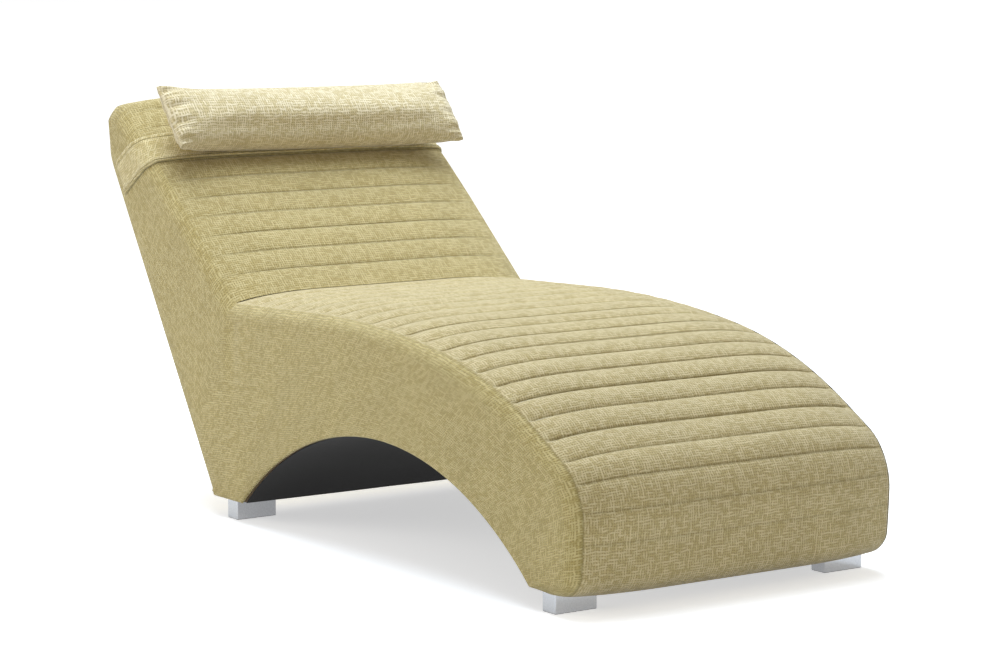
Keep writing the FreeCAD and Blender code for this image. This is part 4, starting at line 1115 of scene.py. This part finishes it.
# Webbing and linings
first, last = BACK_STRAP_ENDS
back_marks = np.linspace(HEAD_FOAM_END + first, BACK_PATH.length - last, BACK_STRAP_COUNT)
back_straps = straps("back_straps", BACK_PATH, back_marks)
dress(back_straps, WEBBING_CLOTH, "webbing", "lounger", "back_webbing")
first, last = SEAT_STRAP_ENDS
seat_marks = np.linspace(first, FRAME_PATH.joints[-4] - last, SEAT_STRAP_COUNT)
seat_straps = straps("seat_straps", FRAME_PATH, seat_marks)
dress(seat_straps, WEBBING_CLOTH, "webbing", "lounger", "seat_webbing")
lining = arch_sheet()
dress(lining, CHARCOAL, "lining", "lounger", "arch_lining")
for word, low, high in (
    ("rear", HEEL[0] + HEEL_INSET, ARCH_X - ARCH_HALF - LINING_INSET),
    ("front", ARCH_X + ARCH_HALF + LINING_INSET, TOE_END[0] - LINING_INSET),
):
    sheet = base_sheet("base_lining_cloth_" + word, low, high)
    dress(sheet, CHARCOAL, "lining", "lounger", "base_lining_" + word)

# Pillow and band
pillow = pillow_mesh()
fill_pillow(pillow)
pillow_settle(pillow)
filling = pillow_filling(pillow)
dress(filling, WADDING, "wadding", "headrest", "pillow_filling")
dress(pillow, KHAKI_PILLOW, "upholstery", "headrest", "pillow_cover")
for piece in (pillow, filling):
    piece.modifiers.new("finer", "SUBSURF").levels = 1
strap, strap_length = band()
dress(strap, KHAKI_BAND, "band", None, "headrest_band")
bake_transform(strap)

# Materials of the solids that stay
NODE_WORDS = [
    ("board", PANEL),
    ("rail", TIMBER),
    ("side_frame", TIMBER),
    ("foot_bolts", ZINC),
    ("foot_nuts", ZINC),
    ("foot_plates", ZINC),
    ("foot_glides", BLACK),
    ("foot_", CHROME),
]
for name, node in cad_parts.items():
    for word, material in NODE_WORDS:
        if word in name:
            node.data.materials.clear()
            node.data.materials.append(material)
            break

# Studio
FLOOR_HALF = 40.0
FLOOR_SURFACE = {
    "Base Color": (0.85, 0.85, 0.85, 1),
    "Roughness": 0.9,
    "Specular IOR Level": 0.0,
    "Emission Color": (1, 1, 1, 1),
}
# The floor glows to the eye, from the first strength to the second over these distances
FLOOR_REACH = (1.0, 4.0)
FLOOR_GLOW = (0.55, 0.9)
AMBIENT = 0.34
floor_mesh = bpy.data.meshes.new("floor")
floor_corners = [(x * FLOOR_HALF, y * FLOOR_HALF, 0) for x, y in ((-1, -1), (1, -1), (1, 1), (-1, 1))]
floor_mesh.from_pydata(floor_corners, [], [(0, 1, 2, 3)])
floor = bpy.data.objects.new("floor", floor_mesh)
bpy.context.scene.collection.objects.link(floor)


def seen_rays(tree):
    """1 for rays that see the background: from the camera, in a reflection or through glass."""
    rays = tree.nodes.new("ShaderNodeLightPath")
    total = rays.outputs["Is Camera Ray"]
    for name in ("Is Glossy Ray", "Is Transmission Ray"):
        most = tree.nodes.new("ShaderNodeMath")
        most.operation = "MAXIMUM"
        tree.links.new(total, most.inputs[0])
        tree.links.new(rays.outputs[name], most.inputs[1])
        total = most.outputs[0]
    return total


floor_shader = Shader("pale_floor")
floor_shader.set_surface(FLOOR_SURFACE)
floor_place = floor_shader.node("TexCoord").outputs["Object"]
distance = floor_shader.node("VectorMath", {"operation": "LENGTH"}, Vector=floor_place).outputs["Value"]
far = floor_shader.remap(distance, *FLOOR_REACH, *FLOOR_GLOW)
glow = floor_shader.math("MULTIPLY", seen_rays(floor_shader.tree), far)
floor_shader.feed(floor_shader.surface.inputs["Emission Strength"], glow)
floor_mesh.materials.append(floor_shader.material)

world = bpy.data.worlds.new("studio")
bpy.context.scene.world = world
world.use_nodes = True
background = world.node_tree.nodes["Background"]
background.inputs["Color"].default_value = (1, 1, 1, 1)
strength = world.node_tree.nodes.new("ShaderNodeMapRange")
strength.inputs["To Min"].default_value = AMBIENT
world.node_tree.links.new(seen_rays(world.node_tree), strength.inputs["Value"])
world.node_tree.links.new(strength.outputs[0], background.inputs["Strength"])


def aim(obj, place, target):
    """Puts a lamp or camera at a place, looking at a target, upright."""
    back_run = unit(np.array(place) - np.array(target))
    right = unit(np.cross((0.0, 0.0, 1.0), back_run))
    turn = Matrix((right, np.cross(back_run, right), back_run)).transposed().to_4x4()
    obj.matrix_world = Matrix.Translation(place) @ turn
    bpy.context.scene.collection.objects.link(obj)


def softbox(name, place, target, size, power, colour):
    """Soft rectangular lamp at a place, turned to a target."""
    data = bpy.data.lights.new(name, "AREA")
    data.shape = "RECTANGLE"
    data.size, data.size_y = size
    data.energy = power
    data.color = colour
    aim(bpy.data.objects.new(name, data), place, target)


softbox("overhead", (-0.5, 0.3, 3.4), (0.1, 0.0, 0.3), (3.0, 3.0), 160.0, (0.78, 0.88, 1.0))
softbox("side_fill", (-2.2, -4.0, 1.8), (0.0, 0.0, 0.4), (3.0, 2.5), 62.0, (1.0, 0.97, 0.9))
softbox("toe_fill", (4.5, -0.5, 2.2), (0.5, 0.0, 0.3), (2.5, 2.0), 20.0, (1.0, 0.96, 0.88))

# Camera at the photograph's place
LENS = 113.26
SENSOR = 36.0
CAMERA_PLACE = np.array((5.009, -3.482, 1.168))
AZIMUTH = math.radians(54.76)
ELEVATION = math.radians(7.33)
LEVEL = math.cos(ELEVATION)
CAMERA_BACK = np.array((math.sin(AZIMUTH) * LEVEL, -math.cos(AZIMUTH) * LEVEL, math.sin(ELEVATION)))
camera_data = bpy.data.cameras.new("camera")
camera_data.sensor_width = SENSOR
camera_data.sensor_fit = "HORIZONTAL"
camera_data.lens = LENS
camera = bpy.data.objects.new("camera", camera_data)
aim(camera, CAMERA_PLACE, CAMERA_PLACE - CAMERA_BACK)
bpy.context.scene.camera = camera
bpy.context.scene.view_settings.view_transform = "Standard"
